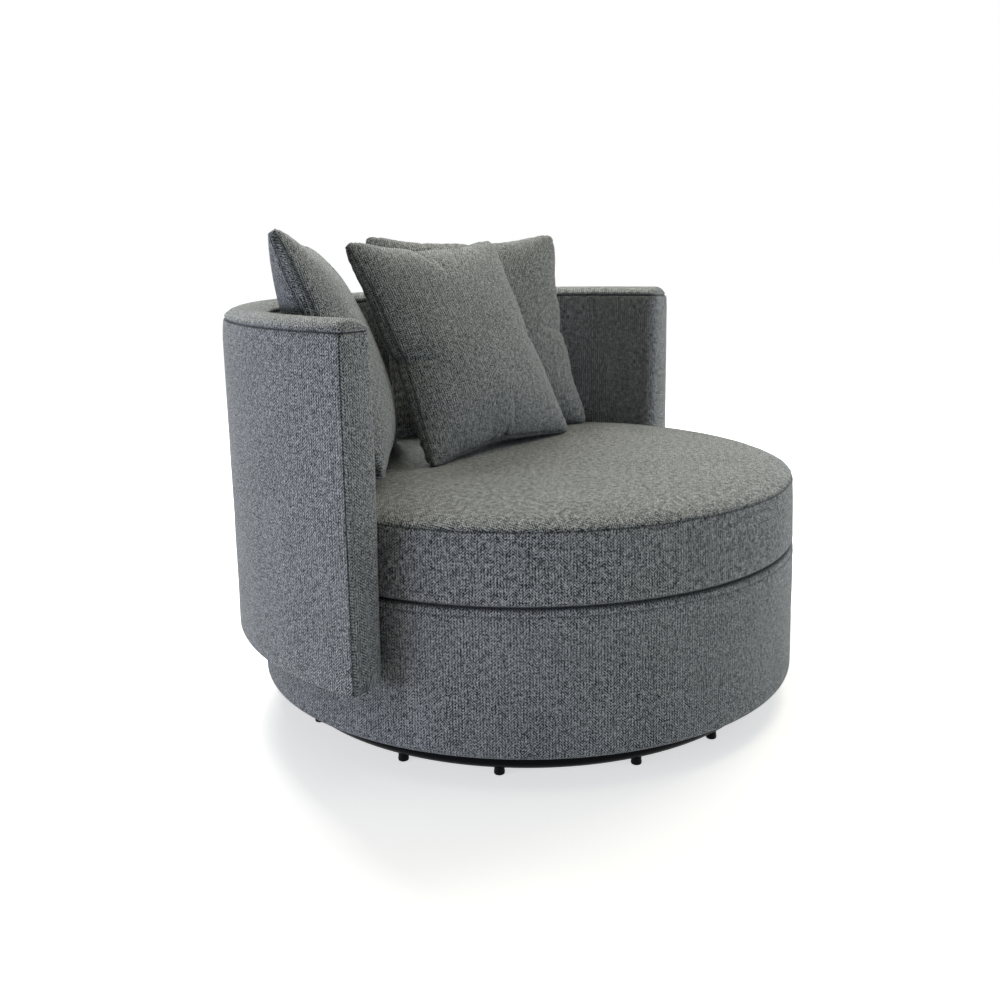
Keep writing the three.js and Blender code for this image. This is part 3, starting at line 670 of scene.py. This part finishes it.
def bounded_line(angle, inset, room):
    """The drum's circle, cut back behind by the shell's inner face. Deep rings shrink towards the axis."""
    near = min(inset, DEEP_INSET)
    line = np.minimum(DRUM_RADIUS - near, shell_ray(angle, SHELL_INNER - room - near))
    return line * (DRUM_RADIUS - inset) / (DRUM_RADIUS - near)


def rings(profile, outline):
    """Rings at each inset and height of a profile. outline gives the radius at an angle, inset and height."""
    angles = round_points(AROUND)
    rows = []
    for inset, z in profile:
        radius = outline(angles, inset, z)
        x = radius * np.cos(angles)
        y = radius * np.sin(angles) + AXIS.y
        rows.append(np.stack([x, y, np.full(AROUND, z)], axis=-1))
    return np.array(rows)


def round_weave(up):
    """Weave coordinates that run round the axis and up the profile."""
    along = np.linspace(0, 2 * math.pi * DRUM_RADIUS, AROUND + 1)[None, :].repeat(len(up), axis=0)
    return along, up[:, None].repeat(AROUND + 1, axis=1)


def flat_weave(rows, insets, up):
    """Weave coordinates of cloth spread from the middle, with its true length down the shoulder."""
    closed = np.concatenate([rows, rows[:, :1]], axis=1)
    reach = DRUM_RADIUS - insets
    stretch = ((up[-1] - up + reach[-1]) / reach)[:, None]
    return closed[..., 0] * stretch, (closed[..., 1] - AXIS.y) * stretch


def low_corner(low, size, steps):
    """Insets and heights up a rounded lower edge."""
    return [(size * (1 - math.sin(angle)), low + size * (1 - math.cos(angle))) for angle in arc(0, 90, steps)]


# Drum


def drum_profile(ledge, seam):
    """Insets and heights from the lip under the drum to its deck, and the number of rows below the ledge."""
    profile = [(DRUM_LIP, DRUM_LOW + DRUM_CORNER / 4), (DRUM_LIP, DRUM_LOW), (DRUM_LIP / 2, DRUM_LOW)]
    profile += low_corner(DRUM_LOW, DRUM_CORNER, CORNER_STEPS)
    profile += [(0, z) for z in np.linspace(DRUM_LOW + DRUM_CORNER, ledge - LEDGE_CORNER, DRUM_FOOT_ROWS)[1:]]
    foot_rows = len(profile)
    profile += [(0, ledge - LEDGE_CORNER / 4), (0, ledge)]
    profile += [(0, z) for z in np.linspace(ledge, seam + SEAM_ROWS[0], DRUM_WALL_ROWS)[1:-1]]
    profile += [(0, seam + step) for step in SEAM_ROWS if step < DRUM_SEAM_DROP - DRUM_SHOULDER]
    for angle in arc(0, 90, CORNER_STEPS):
        inset = DRUM_SHOULDER * (1 - math.cos(angle))
        profile.append((inset, DRUM_TOP - DRUM_SHOULDER * (1 - math.sin(angle))))
    profile += [(DRUM_RADIUS * share, DRUM_TOP) for share in DECK_INSETS]
    return profile, foot_rows


def build_drum():
    ledge = SHELL_BOTTOM - LEDGE_DROP
    seam = DRUM_TOP - DRUM_SEAM_DROP
    profile, foot_rows = drum_profile(ledge, seam)

    def outline(angle, inset, z):
        if z < ledge - LEDGE_CORNER / 2:
            return DRUM_RADIUS - inset + 0 * angle
        return bounded_line(angle, inset, DRUM_TO_SHELL)

    rows = rings(profile, outline)
    z = rows[..., 2]
    wall = fade(DRUM_LOW, DRUM_LOW_FADE, z) * (1 - fade(DRUM_TOP, DRUM_TOP_FADE, z))
    height = wall * uneven(DRUM_UNEVEN, rows) + puckers(DRUM_PUCKER, rows, z - seam)
    height = height + DRUM_SEAM_SHARE * seam_groove(z - seam)
    height[:foot_rows] *= fade(DRUM_LOW, DRUM_FOOT_FADE, z[:foot_rows])
    # The ledge's own rows stay plain
    height[foot_rows - 1 : foot_rows + 2] = 0
    # Painted shade on the drum under the shell's overhang, strongest at the ledge
    under_shell = (z < ledge + LEDGE_CORNER) & (rows[..., 1] > AXIS.y - SHELL_FORWARD)
    painted_overhang_shade = OVERHANG_SHADE * (fade(ledge, OVERHANG_FADE, z) * under_shell)
    # Painted shade over the deck under the cushion, joined with the painted shade in the seam's groove
    painted_deck_shade = fade(DRUM_TOP, DECK_SHADE_FADE, z)
    painted_shade = np.maximum(DRUM_SEAM_SHARE * seam_shade(z - seam), np.maximum(painted_deck_shade, painted_overhang_shade))
    panels = [(0, len(rows) - 1, *round_weave(path_length(np.array(profile))))]
    sheet = ring_sheet(rows, height, painted_shade, panels, True)
    add_piece("drum_upholstery", sheet, "seat", "cloth", ["drum_cover"])


# Back shell


def shell_levels(corner):
    """Half-widths and heights of one side of the shell's section, from its underside to its crown."""
    half = SHELL_THICK / 2
    levels = [(0, SHELL_BOTTOM), ((half - corner) / 2, SHELL_BOTTOM)]
    levels += [(half - inset, z) for inset, z in low_corner(SHELL_BOTTOM, corner, SHELL_CORNER_STEPS)]
    walls = np.linspace(SHELL_BOTTOM + corner, SHELL_SEAM + SEAM_ROWS[0], SHELL_WALL_ROWS)[1:-1]
    levels += [(half, z) for z in walls]
    levels += [(half, SHELL_SEAM + step) for step in SEAM_ROWS if step <= 0]
    for angle in arc(0, 90, SHELL_CROWN_STEPS)[1:]:
        levels.append((half * math.cos(angle), SHELL_SEAM + SHELL_CROWN * math.sin(angle)))
    levels[-1] = (0, SHELL_SEAM + SHELL_CROWN)
    levels = np.array(levels)
    drawn = np.clip((levels[:, 1] - SHELL_SEAM) / SHELL_SHOULDER + 1, 0, 1) ** 2
    levels[:, 0] -= SHELL_SHOULDER_IN * drawn * levels[:, 0] / half
    return levels


def shell_points(angle, across, z):
    """Points of the shell at an angle and at distances outwards from the middle of its wall."""
    lean = SHELL_FLARE * (z - SHELL_BOTTOM) / (SHELL_SEAM - SHELL_BOTTOM)
    radius = SHELL_MIDDLE + across + lean
    return np.stack([radius * np.cos(angle), radius * np.sin(angle) - SHELL_FORWARD + AXIS.y, z], axis=-1)


def edge_points(angle, rounding, side, width, z):
    """The section next to an arm's end. rounding runs from 0 on the wall to 90 degrees on the end's face."""
    corner = np.where(side > 0, SHELL_OUTER_CORNER, SHELL_INNER_CORNER)
    top_share = np.clip((z - SHELL_SEAM) / SHELL_CROWN, 0, 1)
    low_share = 1 - np.clip((z - SHELL_BOTTOM) / corner, 0, 1)
    outer_edge = EDGE_OUTER + (EDGE_TOP - EDGE_OUTER) * fade(SHELL_SEAM, EDGE_TOP_FADE, z)
    edge = np.where(side > 0, outer_edge, EDGE_INNER)
    edge_top = EDGE_TOP * top_share + EDGE_LOW * low_share
    inset = 1 - math.cos(rounding)
    across = side * width * (1 - edge * inset / (SHELL_THICK / 2))
    lift = inset * (EDGE_LOW * low_share - EDGE_TOP * top_share)
    depth = np.maximum(edge, edge_top) * (1 - math.sin(rounding)) / SHELL_MIDDLE
    return shell_points(angle + (depth if angle < math.pi / 2 else -depth), across, z + lift)


def shell_cloth(points, side, z, roundings):
    """Heights and painted shade over the shell: unevenness, the top seams and the outer edges' seams with painted
    shade in their grooves, and painted shade along the outer side's lower edge.
    """
    low_crown = (z - SHELL_SEAM) / SHELL_CROWN < 0.5
    on_wall = fade(SHELL_BOTTOM, SHELL_LOW_FADE, points[..., 2])
    on_wall = on_wall * (1 - fade(SHELL_SEAM, SHELL_TOP_FADE, points[..., 2]))
    height = on_wall * uneven(SHELL_UNEVEN, points)
    height = height + (seam_groove(z - SHELL_SEAM) * low_crown)[:, None]
    height = height + puckers(SHELL_PUCKER, points, (z - SHELL_SEAM)[:, None])
    shades = seam_shade(z - SHELL_SEAM) * low_crown
    # Painted shade along the lower edge of the shell's outer side
    shades = shades + (1 - fade(SHELL_BOTTOM, SHELL_LOW_SHADE_FADE, z)) * (side > 0)
    painted_shade = shades[:, None].repeat(points.shape[1], axis=1)

    outer_wall = (side > 0) & (z > SHELL_BOTTOM + SHELL_OUTER_CORNER / 2) & (z < SHELL_SEAM + TOLERANCE)
    # The seam down each outer edge is a groove with painted shade in it
    for number, rounding in enumerate(roundings):
        from_seam = (math.degrees(rounding) - EDGE_SEAM_ANGLE) / EDGE_SEAM_WIDTH
        shade = math.exp(-(from_seam**2))
        for column in (number, -1 - number):
            height[outer_wall, column] -= EDGE_SEAM_SHARE * SEAM_DEPTH * shade
            painted_shade[outer_wall, column] = np.maximum(painted_shade[outer_wall, column], shade)
    return height, painted_shade


def close_end(sheet, heights, loop, outwards, weave_start):
    """The face of an arm's end, from its inner to its outer edge. loop is the end's closed line of points."""
    grid = np.zeros((len(heights), CAP_COLUMNS + 1), dtype=int)
    along = np.zeros(grid.shape)
    tall = np.zeros(grid.shape)
    share = np.linspace(0, 1, CAP_COLUMNS + 1)
    bulge = 4 * share[1:-1] * (1 - share[1:-1]) * CAP_BULGE
    for level, z in enumerate(heights):
        inner = loop[-level]
        outer = loop[level]
        tall[level] = sheet.points[outer][2]
        if inner == outer:
            grid[level] = outer
            along[level] = weave_start
            continue
        start = np.array(sheet.points[inner])
        finish = np.array(sheet.points[outer])
        along[level] = weave_start + outwards * share * np.linalg.norm(finish - start)
        inside = start + (finish - start) * share[1:-1, None]
        on_cap = fade(SHELL_BOTTOM, CAP_LOW_FADE, z) * (1 - fade(SHELL_SEAM, CAP_TOP_FADE, z))
        inside[:, 1] -= bulge * on_cap + seam_groove(z - SHELL_SEAM)
        # Painted shade in the top seam's groove across the end's face
        numbers = sheet.add_points(inside, np.full(len(inside), seam_shade(z - SHELL_SEAM)))
        grid[level] = [inner, *range(numbers, numbers + len(inside)), outer]
    if outwards > 0:
        grid, along, tall = grid[:, ::-1], along[:, ::-1], tall[:, ::-1]
    sheet.add_faces(grid, along, tall)


def round_the_ends(along, row, columns):
    """Weave coordinates along one row of the wall, with the row's own lengths round both ends' edges."""
    own = path_length(row)
    first, last = columns, len(row) - columns - 1
    lengths = along.copy()
    lengths[:first] = along[first] - (own[first] - own[:first])
    lengths[last + 1 :] = along[last] + (own[last + 1 :] - own[last])
    return lengths


def build_shell():
    # The section as one loop: up the outer side, then down the inner side without repeating the two middles
    levels = shell_levels(SHELL_OUTER_CORNER)
    side = np.concatenate([np.ones(len(levels)), -np.ones(len(levels) - 2)])
    section = np.concatenate([levels, shell_levels(SHELL_INNER_CORNER)[-2:0:-1]])
    width, z = section.T

    roundings = arc(90, 0, EDGE_STEPS)
    end_from = math.radians(SHELL_TURN)
    end_to = math.pi - end_from
    room = EDGE_ROOM * (max(EDGE_INNER, EDGE_TOP) / SHELL_MIDDLE)
    loops = [edge_points(end_from, rounding, side, width, z) for rounding in roundings]
    for angle in np.linspace(end_from + room, end_to - room, SHELL_COLUMNS):
        loops.append(shell_points(angle, side * width, z))
    loops += [edge_points(end_to, rounding, side, width, z) for rounding in roundings[::-1]]
    points = np.array(loops).transpose(1, 0, 2)
    height, painted_shade = shell_cloth(points, side, z, roundings)
    closed = np.concatenate([points[-1:], points, points[:1]])
    points = points + surface_normals(closed, False)[1:-1] * height[..., None]

    sheet = Sheet()
    sheet.add_points(points, painted_shade)
    count, wide = points.shape[:2]
    index = np.arange(count * wide).reshape(count, wide)
    index = np.concatenate([index, index[:1]])
    rows = np.concatenate([points, points[:1]])
    middle_level = len(levels) // 2
    top_level = len(levels) - 1
    along_outer = path_length(points[middle_level])
    along_inner = path_length(points[-middle_level])
    up = path_length(rows[:, wide // 2])
    for first, last, along in ((0, top_level, along_outer), (top_level, count, along_inner)):
        grid = np.array([round_the_ends(along, row, len(roundings)) for row in rows[first : last + 1]])
        sheet.add_faces(index[first : last + 1], grid, up[first : last + 1, None].repeat(wide, axis=1))
    close_end(sheet, levels[:, 1], index[:-1, 0], -1, along_inner[0])
    close_end(sheet, levels[:, 1], index[:-1, -1], 1, along_inner[-1])
    add_piece("shell_upholstery", sheet, "seat", "cloth", ["shell_cover", "shell_foam"])


# Seat cushion


def crown_height(inset):
    """Height of the cushion's top above its seam, at a distance in from its edge."""
    edge = CUSHION_SHOULDER_SHARE * np.exp(-inset / CUSHION_SHOULDER)
    dome = (1 - CUSHION_SHOULDER_SHARE) * np.exp(-inset / CUSHION_DOME)
    return CUSHION_CROWN * (1 - edge - dome)


def cushion_profile():
    """Insets and heights from the middle of the underside to the middle of the top, and the seam's row."""
    profile = [(DRUM_RADIUS * share, CUSHION_LOW) for share in UNDER_INSETS]
    profile += low_corner(CUSHION_LOW, CUSHION_EDGE, CORNER_STEPS)
    low = CUSHION_LOW + CUSHION_EDGE
    seam_rows = CUSHION_SEAM + SEAM_ROWS[SEAM_ROWS <= 0]
    for z in [*np.linspace(low, seam_rows[0], CUSHION_SIDE_ROWS)[1:-1], *seam_rows]:
        share = (z - low) / (CUSHION_SEAM - low)
        profile.append((CUSHION_SIDE_IN * share**3, z))
    seam_row = len(profile) - 1
    shares = np.concatenate([SHOULDER_INSETS, np.linspace(*TOP_INSETS)])
    tops = np.concatenate([SEAM_ROWS[SEAM_ROWS > 0], DRUM_RADIUS * shares])
    profile += [(CUSHION_SIDE_IN + inset, CUSHION_SEAM + crown_height(inset)) for inset in tops]
    return profile, seam_row


def build_cushion():
    profile, seam_row = cushion_profile()
    rows = rings(profile, lambda angle, inset, z: bounded_line(angle, inset, CUSHION_TO_SHELL))
    z = rows[..., 2]
    up = path_length(np.array(profile))
    from_seam = (up - up[seam_row])[:, None]
    height = seam_groove(from_seam) + np.zeros(z.shape)
    height = height + puckers(CUSHION_PUCKER, rows, from_seam) * (np.abs(from_seam) > SEAM_CLEAR)
    on_top = fade(0, CUSHION_TOP_FADE, from_seam)
    on_side = fade(CUSHION_LOW, CUSHION_SIDE_FADE, z) * (from_seam < 0)
    height = height + on_top * uneven(CUSHION_TOP_UNEVEN, rows, CUSHION_RISE)
    height = height + on_side * uneven(CUSHION_SIDE_UNEVEN, rows)
    # Painted shade over the cushion's underside and lower edge, and in its seam's groove
    painted_underside_shade = 1 - fade(CUSHION_LOW, CUSHION_SHADE_FADE, z)
    painted_shade = np.maximum(CUSHION_SEAM_SHARE * seam_shade(from_seam), painted_underside_shade)
    boxing = (0, seam_row, *round_weave(up))
    top = (seam_row, len(rows) - 1, *flat_weave(rows, np.array(profile)[:, 0], up))
    sheet = ring_sheet(rows, height, painted_shade, [boxing, top], False)
    piece = add_piece("seat_cushion", sheet, "seat_cushion", "cushion_cloth", ["seat_cushion_cover"])


# Pillows


def pillow_flat():
    """Places of a pillow's pattern between -1 and 1, closer together towards its seams, as two grids."""
    even = np.linspace(-1, 1, PILLOW_CELLS + 1)
    places = PILLOW_EVEN_SHARE * even + (1 - PILLOW_EVEN_SHARE) * np.sin(math.pi / 2 * even)
    across, tall = np.meshgrid(places, places)
    corner = 1 - PILLOW_CORNER_SHARE * np.abs(across * tall) ** PILLOW_CORNER_POWER
    return across * corner, tall * corner


def swollen(across, tall, face, thick):
    """A stuffed pillow's face by formula: thin edges drawn in, and a full middle."""
    middle = np.clip((1 - across**2) * (1 - tall**2), 0, None)
    x = PILLOW_SIDE / 2 * across * (1 - PILLOW_PULL_SHARE * (1 - tall**2))
    z = PILLOW_SIDE / 2 * tall * (1 - PILLOW_PULL_SHARE * (1 - across**2))
    return np.stack([x, face * thick / 2 * middle**PILLOW_FULLNESS, z], axis=-1)


def closed_faces(cells):
    """Point numbers of two grids that share their border."""
    wide = cells + 1
    front = np.arange(wide * wide).reshape(wide, wide)
    back = front.copy()
    inner = cells - 1
    back[1:-1, 1:-1] = wide * wide + np.arange(inner * inner).reshape(inner, inner)
    return front, back


def quads(index):
    return np.stack([index[:-1, :-1], index[:-1, 1:], index[1:, 1:], index[1:, :-1]], axis=-1).reshape(-1, 4)


def pillow_form(across, tall, seed):
    """A pillow's cover in a first swollen form, with its flat pattern as the shape that the cloth keeps."""
    front, back = closed_faces(PILLOW_CELLS)
    wavelength, height = START_UNEVEN
    start = []
    flat = []
    for face, inner in ((-1, slice(None)), (1, slice(1, -1))):
        grid = swollen(across, tall, face, PILLOW_THICK * START_SHARE)
        grid = grid + height * waves(seed, wavelength)(grid)[..., None] * np.array([0, 1, 0])
        start.append(grid[inner, inner].reshape(-1, 3))
        wide = across * (CUT_SIDE / 2 + CUT_BOW * (1 - tall**2))
        high = tall * (CUT_SIDE / 2 + CUT_BOW * (1 - across**2))
        pattern = np.stack([wide, 0 * across, high], axis=-1)
        flat.append(pattern[inner, inner].reshape(-1, 3))
    faces = np.concatenate([quads(front), quads(back)[:, ::-1]])
    mesh = bpy.data.meshes.new("pillow_form")
    mesh.from_pydata(np.concatenate(start).tolist(), [], faces.tolist())
    form = new_object("pillow_form", mesh)
    form.shape_key_add(name="Start")
    cut = form.shape_key_add(name="Cut")
    cut.data.foreach_set("co", np.concatenate(flat).ravel())
    return form, cut


def simulated_pillow(across, tall, seed):
    """Both faces of a pillow after its cover, cut flat, has been filled by cloth simulation."""
    form, cut = pillow_form(across, tall, seed)
    cloth = form.modifiers.new("Cloth", "CLOTH")
    cloth.settings.rest_shape_key = cut
    for name, value in CLOTH_SETTINGS.items():
        setattr(cloth.settings, name, value)
    cloth.settings.effector_weights.gravity = 0
    cloth.collision_settings.use_collision = False
    cloth.collision_settings.use_self_collision = False
    cloth.point_cache.frame_start = 1
    cloth.point_cache.frame_end = SIMULATED_FRAMES
    for number in range(1, SIMULATED_FRAMES + 1):
        bpy.context.scene.frame_set(number)
    filled = form.evaluated_get(bpy.context.evaluated_depsgraph_get())
    points = np.empty(len(form.data.vertices) * 3)
    filled.data.vertices.foreach_get("co", points)
    mesh = form.data
    bpy.data.objects.remove(form)
    bpy.data.meshes.remove(mesh)
    bpy.context.scene.frame_set(1)
    return [points.reshape(-1, 3)[numbers] for numbers in closed_faces(PILLOW_CELLS)]


def halved(grid, axis):
    """The grid with a point added halfway between every two, on a smooth curve through its neighbours.

    The curve is a cubic: a new point lies a sixteenth of its two neighbours' bends off the chord.
    """
    grid = np.moveaxis(grid, axis, 0)
    bend = np.zeros(grid.shape)
    bend[1:-1] = grid[2:] - 2 * grid[1:-1] + grid[:-2]
    bend[0] = bend[1]
    bend[-1] = bend[-2]
    finer = np.empty((2 * len(grid) - 1, *grid.shape[1:]))
    finer[::2] = grid
    finer[1::2] = (grid[:-1] + grid[1:]) / 2 - (bend[:-1] + bend[1:]) / 16
    return np.moveaxis(finer, 0, axis)


def spread(grid, axis):
    """Length of cloth between the middle of a grid and each of its points, along one axis of the grid."""
    steps = np.linalg.norm(np.diff(grid, axis=axis), axis=-1)
    lengths = np.insert(np.cumsum(steps, axis=axis), 0, 0, axis=axis)
    return lengths - np.take(lengths, [grid.shape[axis] // 2], axis=axis)


def fold_height(x, z, seed):
    """Short folds that run in from the seams of a pillow, at right angles to them."""
    half = CUT_SIDE / 2
    places = np.stack([x, 0 * x, z], axis=-1)
    shift = FOLD_SHIFT * waves(seed + FOLD_WOBBLE[0], FOLD_WOBBLE[1])(places)
    strength = 0.5 + 0.5 * waves(seed + FOLD_STRENGTH[0], FOLD_STRENGTH[1])(places)
    lower = FOLD_LEAST + (1 - FOLD_LEAST) * (1 - fade(0, FOLD_LEAST_FADE, z))
    total = 0 * x
    for distance, along, (reach, height), share in (
        (half + x, z, FOLD_LEFT, lower),
        (half - x, z, FOLD_RIGHT, 1),
        (half + z, x, FOLD_LOW, 1),
        (half - z, x, FOLD_TOP, 1),
    ):
        ridges = np.cos(2 * math.pi * (along + shift) / FOLD_SPACING)
        near = fade(0, FOLD_START_FADE, distance) * np.exp(-distance / (FOLD_REACH * reach))
        total = total + height * share * ridges * near * np.clip(strength, 0, 1)
    return total


def stuffed_faces(seed):
    """Both faces of a pillow at its own size, and the places of its pattern, with twice as many cells."""
    across, tall = pillow_flat()
    grids = [swollen(across, tall, face, PILLOW_THICK) for face in (-1, 1)]
    filled = simulated_pillow(across, tall, seed)
    grids = [even + PILLOW_FOLD_SHARE * (folded - even) for even, folded in zip(grids, filled)]
    grids = [halved(halved(grid, 0), 1) for grid in (*grids, np.stack([across, tall], axis=-1))]
    everything = np.stack(grids[:2]).reshape(-1, 3)
    low, high = everything.min(axis=0), everything.max(axis=0)
    share = np.array([PILLOW_SIDE, PILLOW_THICK, PILLOW_SIDE]) / (high - low)
    return [(grid - (low + high) / 2) * share for grid in grids[:2]], grids[2]


def pillow_sheet(seed):
    """A pillow about its own middle, upright and facing -Y."""
    grids, pattern = stuffed_faces(seed)
    x = pattern[..., 0] * CUT_SIDE / 2
    z = pattern[..., 1] * CUT_SIDE / 2
    edge = np.clip(CUT_SIDE / 2 - np.maximum(np.abs(x), np.abs(z)), 0, None)
    beside_seam = np.exp(-(((edge - PIPE_PLACE) / PIPE_WIDTH) ** 2))
    for number, outwards in enumerate((1, -1)):
        height = fold_height(x, z, seed + number) - PIPE_DEPTH * beside_seam
        height[[0, -1]] = 0
        height[:, [0, -1]] = 0
        grids[number] = grids[number] + outwards * surface_normals(grids[number], False) * height[..., None]

    front, back = closed_faces(2 * PILLOW_CELLS)
    # Painted shade in the groove beside the seam
    painted_shade = PIPE_SHADE * beside_seam
    sheet = Sheet()
    sheet.add_points(grids[0], painted_shade)
    sheet.add_points(grids[1][1:-1, 1:-1], painted_shade[1:-1, 1:-1])
    sheet.add_faces(front, spread(grids[0], 1), spread(grids[0], 0))
    sheet.add_faces(back[:, ::-1], spread(grids[1], 1)[:, ::-1], spread(grids[1], 0)[:, ::-1])
    return sheet


def build_pillow(name, turn, lean, tilt, seed):
    """A pillow leaned into its place in the CAD, with its lower edge flattened on the cushion."""
    body = "pillow_" + name
    sheet = pillow_sheet(seed)
    level = Matrix.Rotation(math.radians(turn), 3, "Z") @ Matrix.Rotation(math.radians(-lean), 3, "X")
    tilted = level @ Matrix.Rotation(math.radians(tilt), 3, "Y")
    points = np.array(sheet.points)
    low, high = (np.array(corner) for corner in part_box(body + "_cover"))
    upright = points @ np.array(level).T
    move = (low + high) / 2 - (upright.min(axis=0) + upright.max(axis=0)) / 2
    move[2] = low[2] - upright[:, 2].min()
    points = points @ np.array(tilted).T + move
    sunk = low[2] - points[:, 2]
    pressed = np.where(np.abs(sunk) < PILLOW_REST, (sunk + PILLOW_REST) ** 2 / (4 * PILLOW_REST), 0)
    points[:, 2] = np.maximum(points[:, 2] + pressed, low[2])
    sheet.points = points
    piece = add_piece(body, sheet, body, "pillow_cloth", [body + "_cover", body + "_filling"])


# Base


def build_ring():
    angles = round_points(RING_AROUND)
    turns = round_points(RING_SIDES)[:, None]
    reach = RING_RADIUS + RING_TUBE * np.cos(turns)
    z = RING_RISE + RING_TUBE * np.sin(turns) + 0 * angles
    sheet = Sheet()
    sheet.add_points(np.stack([reach * np.cos(angles), reach * np.sin(angles) + AXIS.y, z], axis=-1))
    index = closed_index(RING_SIDES, RING_AROUND)
    index = np.concatenate([index, index[:1]])
    sheet.add_faces(index, 0 * index, 0 * index)
    add_piece("base_tube", sheet, "base", "black_steel", ["base_ring"], woven=False)


def build_glide(number):
    """A glide as a turned stub, with a point in the middle of its foot."""
    pair, side = divmod(number - 1, GLIDE_PER_PAIR)
    pair_turn = pair * 360 * GLIDE_PER_PAIR / GLIDE_COUNT
    angle = math.radians(GLIDE_START + pair_turn + (2 * side - 1) * GLIDE_PAIR_TURN)
    profile = [(GLIDE_PAD / 2, 0)]
    profile += [(GLIDE_PAD - inset, z) for inset, z in low_corner(0, GLIDE_EDGE, GLIDE_STEPS)]
    stem = [(GLIDE_STEM, GLIDE_PAD_THICK + GLIDE_EDGE), (GLIDE_STEM, RING_RISE)]
    profile = np.array([*profile, (GLIDE_PAD, GLIDE_PAD_THICK), *stem])
    turns = round_points(GLIDE_AROUND)
    middle_x = RING_RADIUS * math.cos(angle)
    middle_y = RING_RADIUS * math.sin(angle)
    x = profile[:, :1] * np.cos(turns) + middle_x
    y = profile[:, :1] * np.sin(turns) + middle_y + AXIS.y
    sheet = Sheet()
    sheet.add_points(np.stack([x, y, profile[:, 1:] + 0 * turns], axis=-1))
    middle = sheet.add_points(np.array([[middle_x, middle_y + AXIS.y, 0]]))
    index = closed_index(len(profile), GLIDE_AROUND)
    index = np.concatenate([np.full(index[:1].shape, middle), index])
    sheet.add_faces(index, 0 * index, 0 * index)
    add_piece(f"foot_{number}", sheet, "base", "glide_plastic", [f"glide_{number:02}"], woven=False)


# Stage, lights and camera


def seen_directly(tree):
    """1 for rays from the camera and for mirrored ones, 0 for rays that carry light."""
    path = tree.nodes.new("ShaderNodeLightPath")
    return math_node(tree, "MAXIMUM", path.outputs["Is Camera Ray"], path.outputs["Is Glossy Ray"])


def build_stage():
    mesh = bpy.data.meshes.new("studio_floor")
    corners = [(FLOOR_HALF * x, FLOOR_HALF * y, 0) for x, y in ((-1, -1), (1, -1), (1, 1), (-1, 1))]
    mesh.from_pydata(corners, [], [(0, 1, 2, 3)])
    floor = new_object("studio_floor", mesh)
    material, tree, shader = node_material("studio_white")
    set_sockets(shader, FLOOR_SURFACE)
    glow = tree.nodes.new("ShaderNodeEmission")
    glow.inputs["Color"].default_value = (*WHITE, 1.0)
    added = tree.nodes.new("ShaderNodeAddShader")
    tree.links.new(shader.outputs[0], added.inputs[0])
    tree.links.new(glow.outputs[0], added.inputs[1])
    coordinates = tree.nodes.new("ShaderNodeTexCoord")
    distance = tree.nodes.new("ShaderNodeVectorMath")
    distance.operation = "LENGTH"
    tree.links.new(coordinates.outputs["Object"], distance.inputs[0])
    strength = ranged(tree, distance.outputs["Value"], FLOOR_NEAR, FLOOR_FAR, FLOOR_GLOW, 1.0)
    tree.links.new(math_node(tree, "MULTIPLY", seen_directly(tree), strength), glow.inputs["Strength"])
    tree.links.new(added.outputs[0], tree.nodes["Material Output"].inputs["Surface"])
    mesh.materials.append(material)

    world = bpy.data.worlds.new("studio_world")
    bpy.context.scene.world = world
    world.use_nodes = True
    tree = world.node_tree
    background = tree.nodes["Background"]
    seen = seen_directly(tree)
    tree.links.new(mix_colour(tree, seen, WORLD_COLOUR, WHITE), background.inputs["Color"])
    tree.links.new(ranged(tree, seen, 0, 1, WORLD_STRENGTH, 1.0), background.inputs["Strength"])


def build_lights():
    for name, place, target, size, power, colour in LAMPS:
        light = bpy.data.lights.new(name, "AREA")
        light.shape = "RECTANGLE"
        light.size, light.size_y = size
        light.energy = power
        light.color = colour
        lamp = new_object(name, light)
        lamp.location = place
        lamp.rotation_euler = (Vector(target) - Vector(place)).to_track_quat("-Z", "Y").to_euler()


def build_camera():
    azimuth = math.radians(CAMERA_AZIMUTH)
    elevation = math.radians(CAMERA_ELEVATION)
    roll = math.radians(CAMERA_ROLL)
    level = math.cos(elevation)
    back = Vector((math.sin(azimuth) * level, -math.cos(azimuth) * level, math.sin(elevation)))
    right = Vector((math.cos(azimuth), math.sin(azimuth), 0))
    up = back.cross(right)
    turned_right = right * math.cos(roll) + up * math.sin(roll)
    turned_up = up * math.cos(roll) - right * math.sin(roll)
    data = bpy.data.cameras.new("camera")
    data.lens = CAMERA_LENS_MM
    data.sensor_width = CAMERA_SENSOR_MM
    data.shift_y = CAMERA_SHIFT_Y
    camera = new_object("camera", data)
    axes = Matrix((turned_right, turned_up, back)).transposed().to_4x4()
    camera.matrix_world = Matrix.Translation(CAMERA_FROM_AXIS + Vector((0, AXIS.y, 0))) @ axes
    bpy.context.scene.camera = camera


bpy.context.scene.view_settings.view_transform = "Standard"
build_camera()
build_stage()
build_lights()
build_drum()
build_shell()
build_cushion()
for pillow in PILLOWS:
    build_pillow(*pillow)
build_ring()
for number in range(1, GLIDE_COUNT + 1):
    build_glide(number)
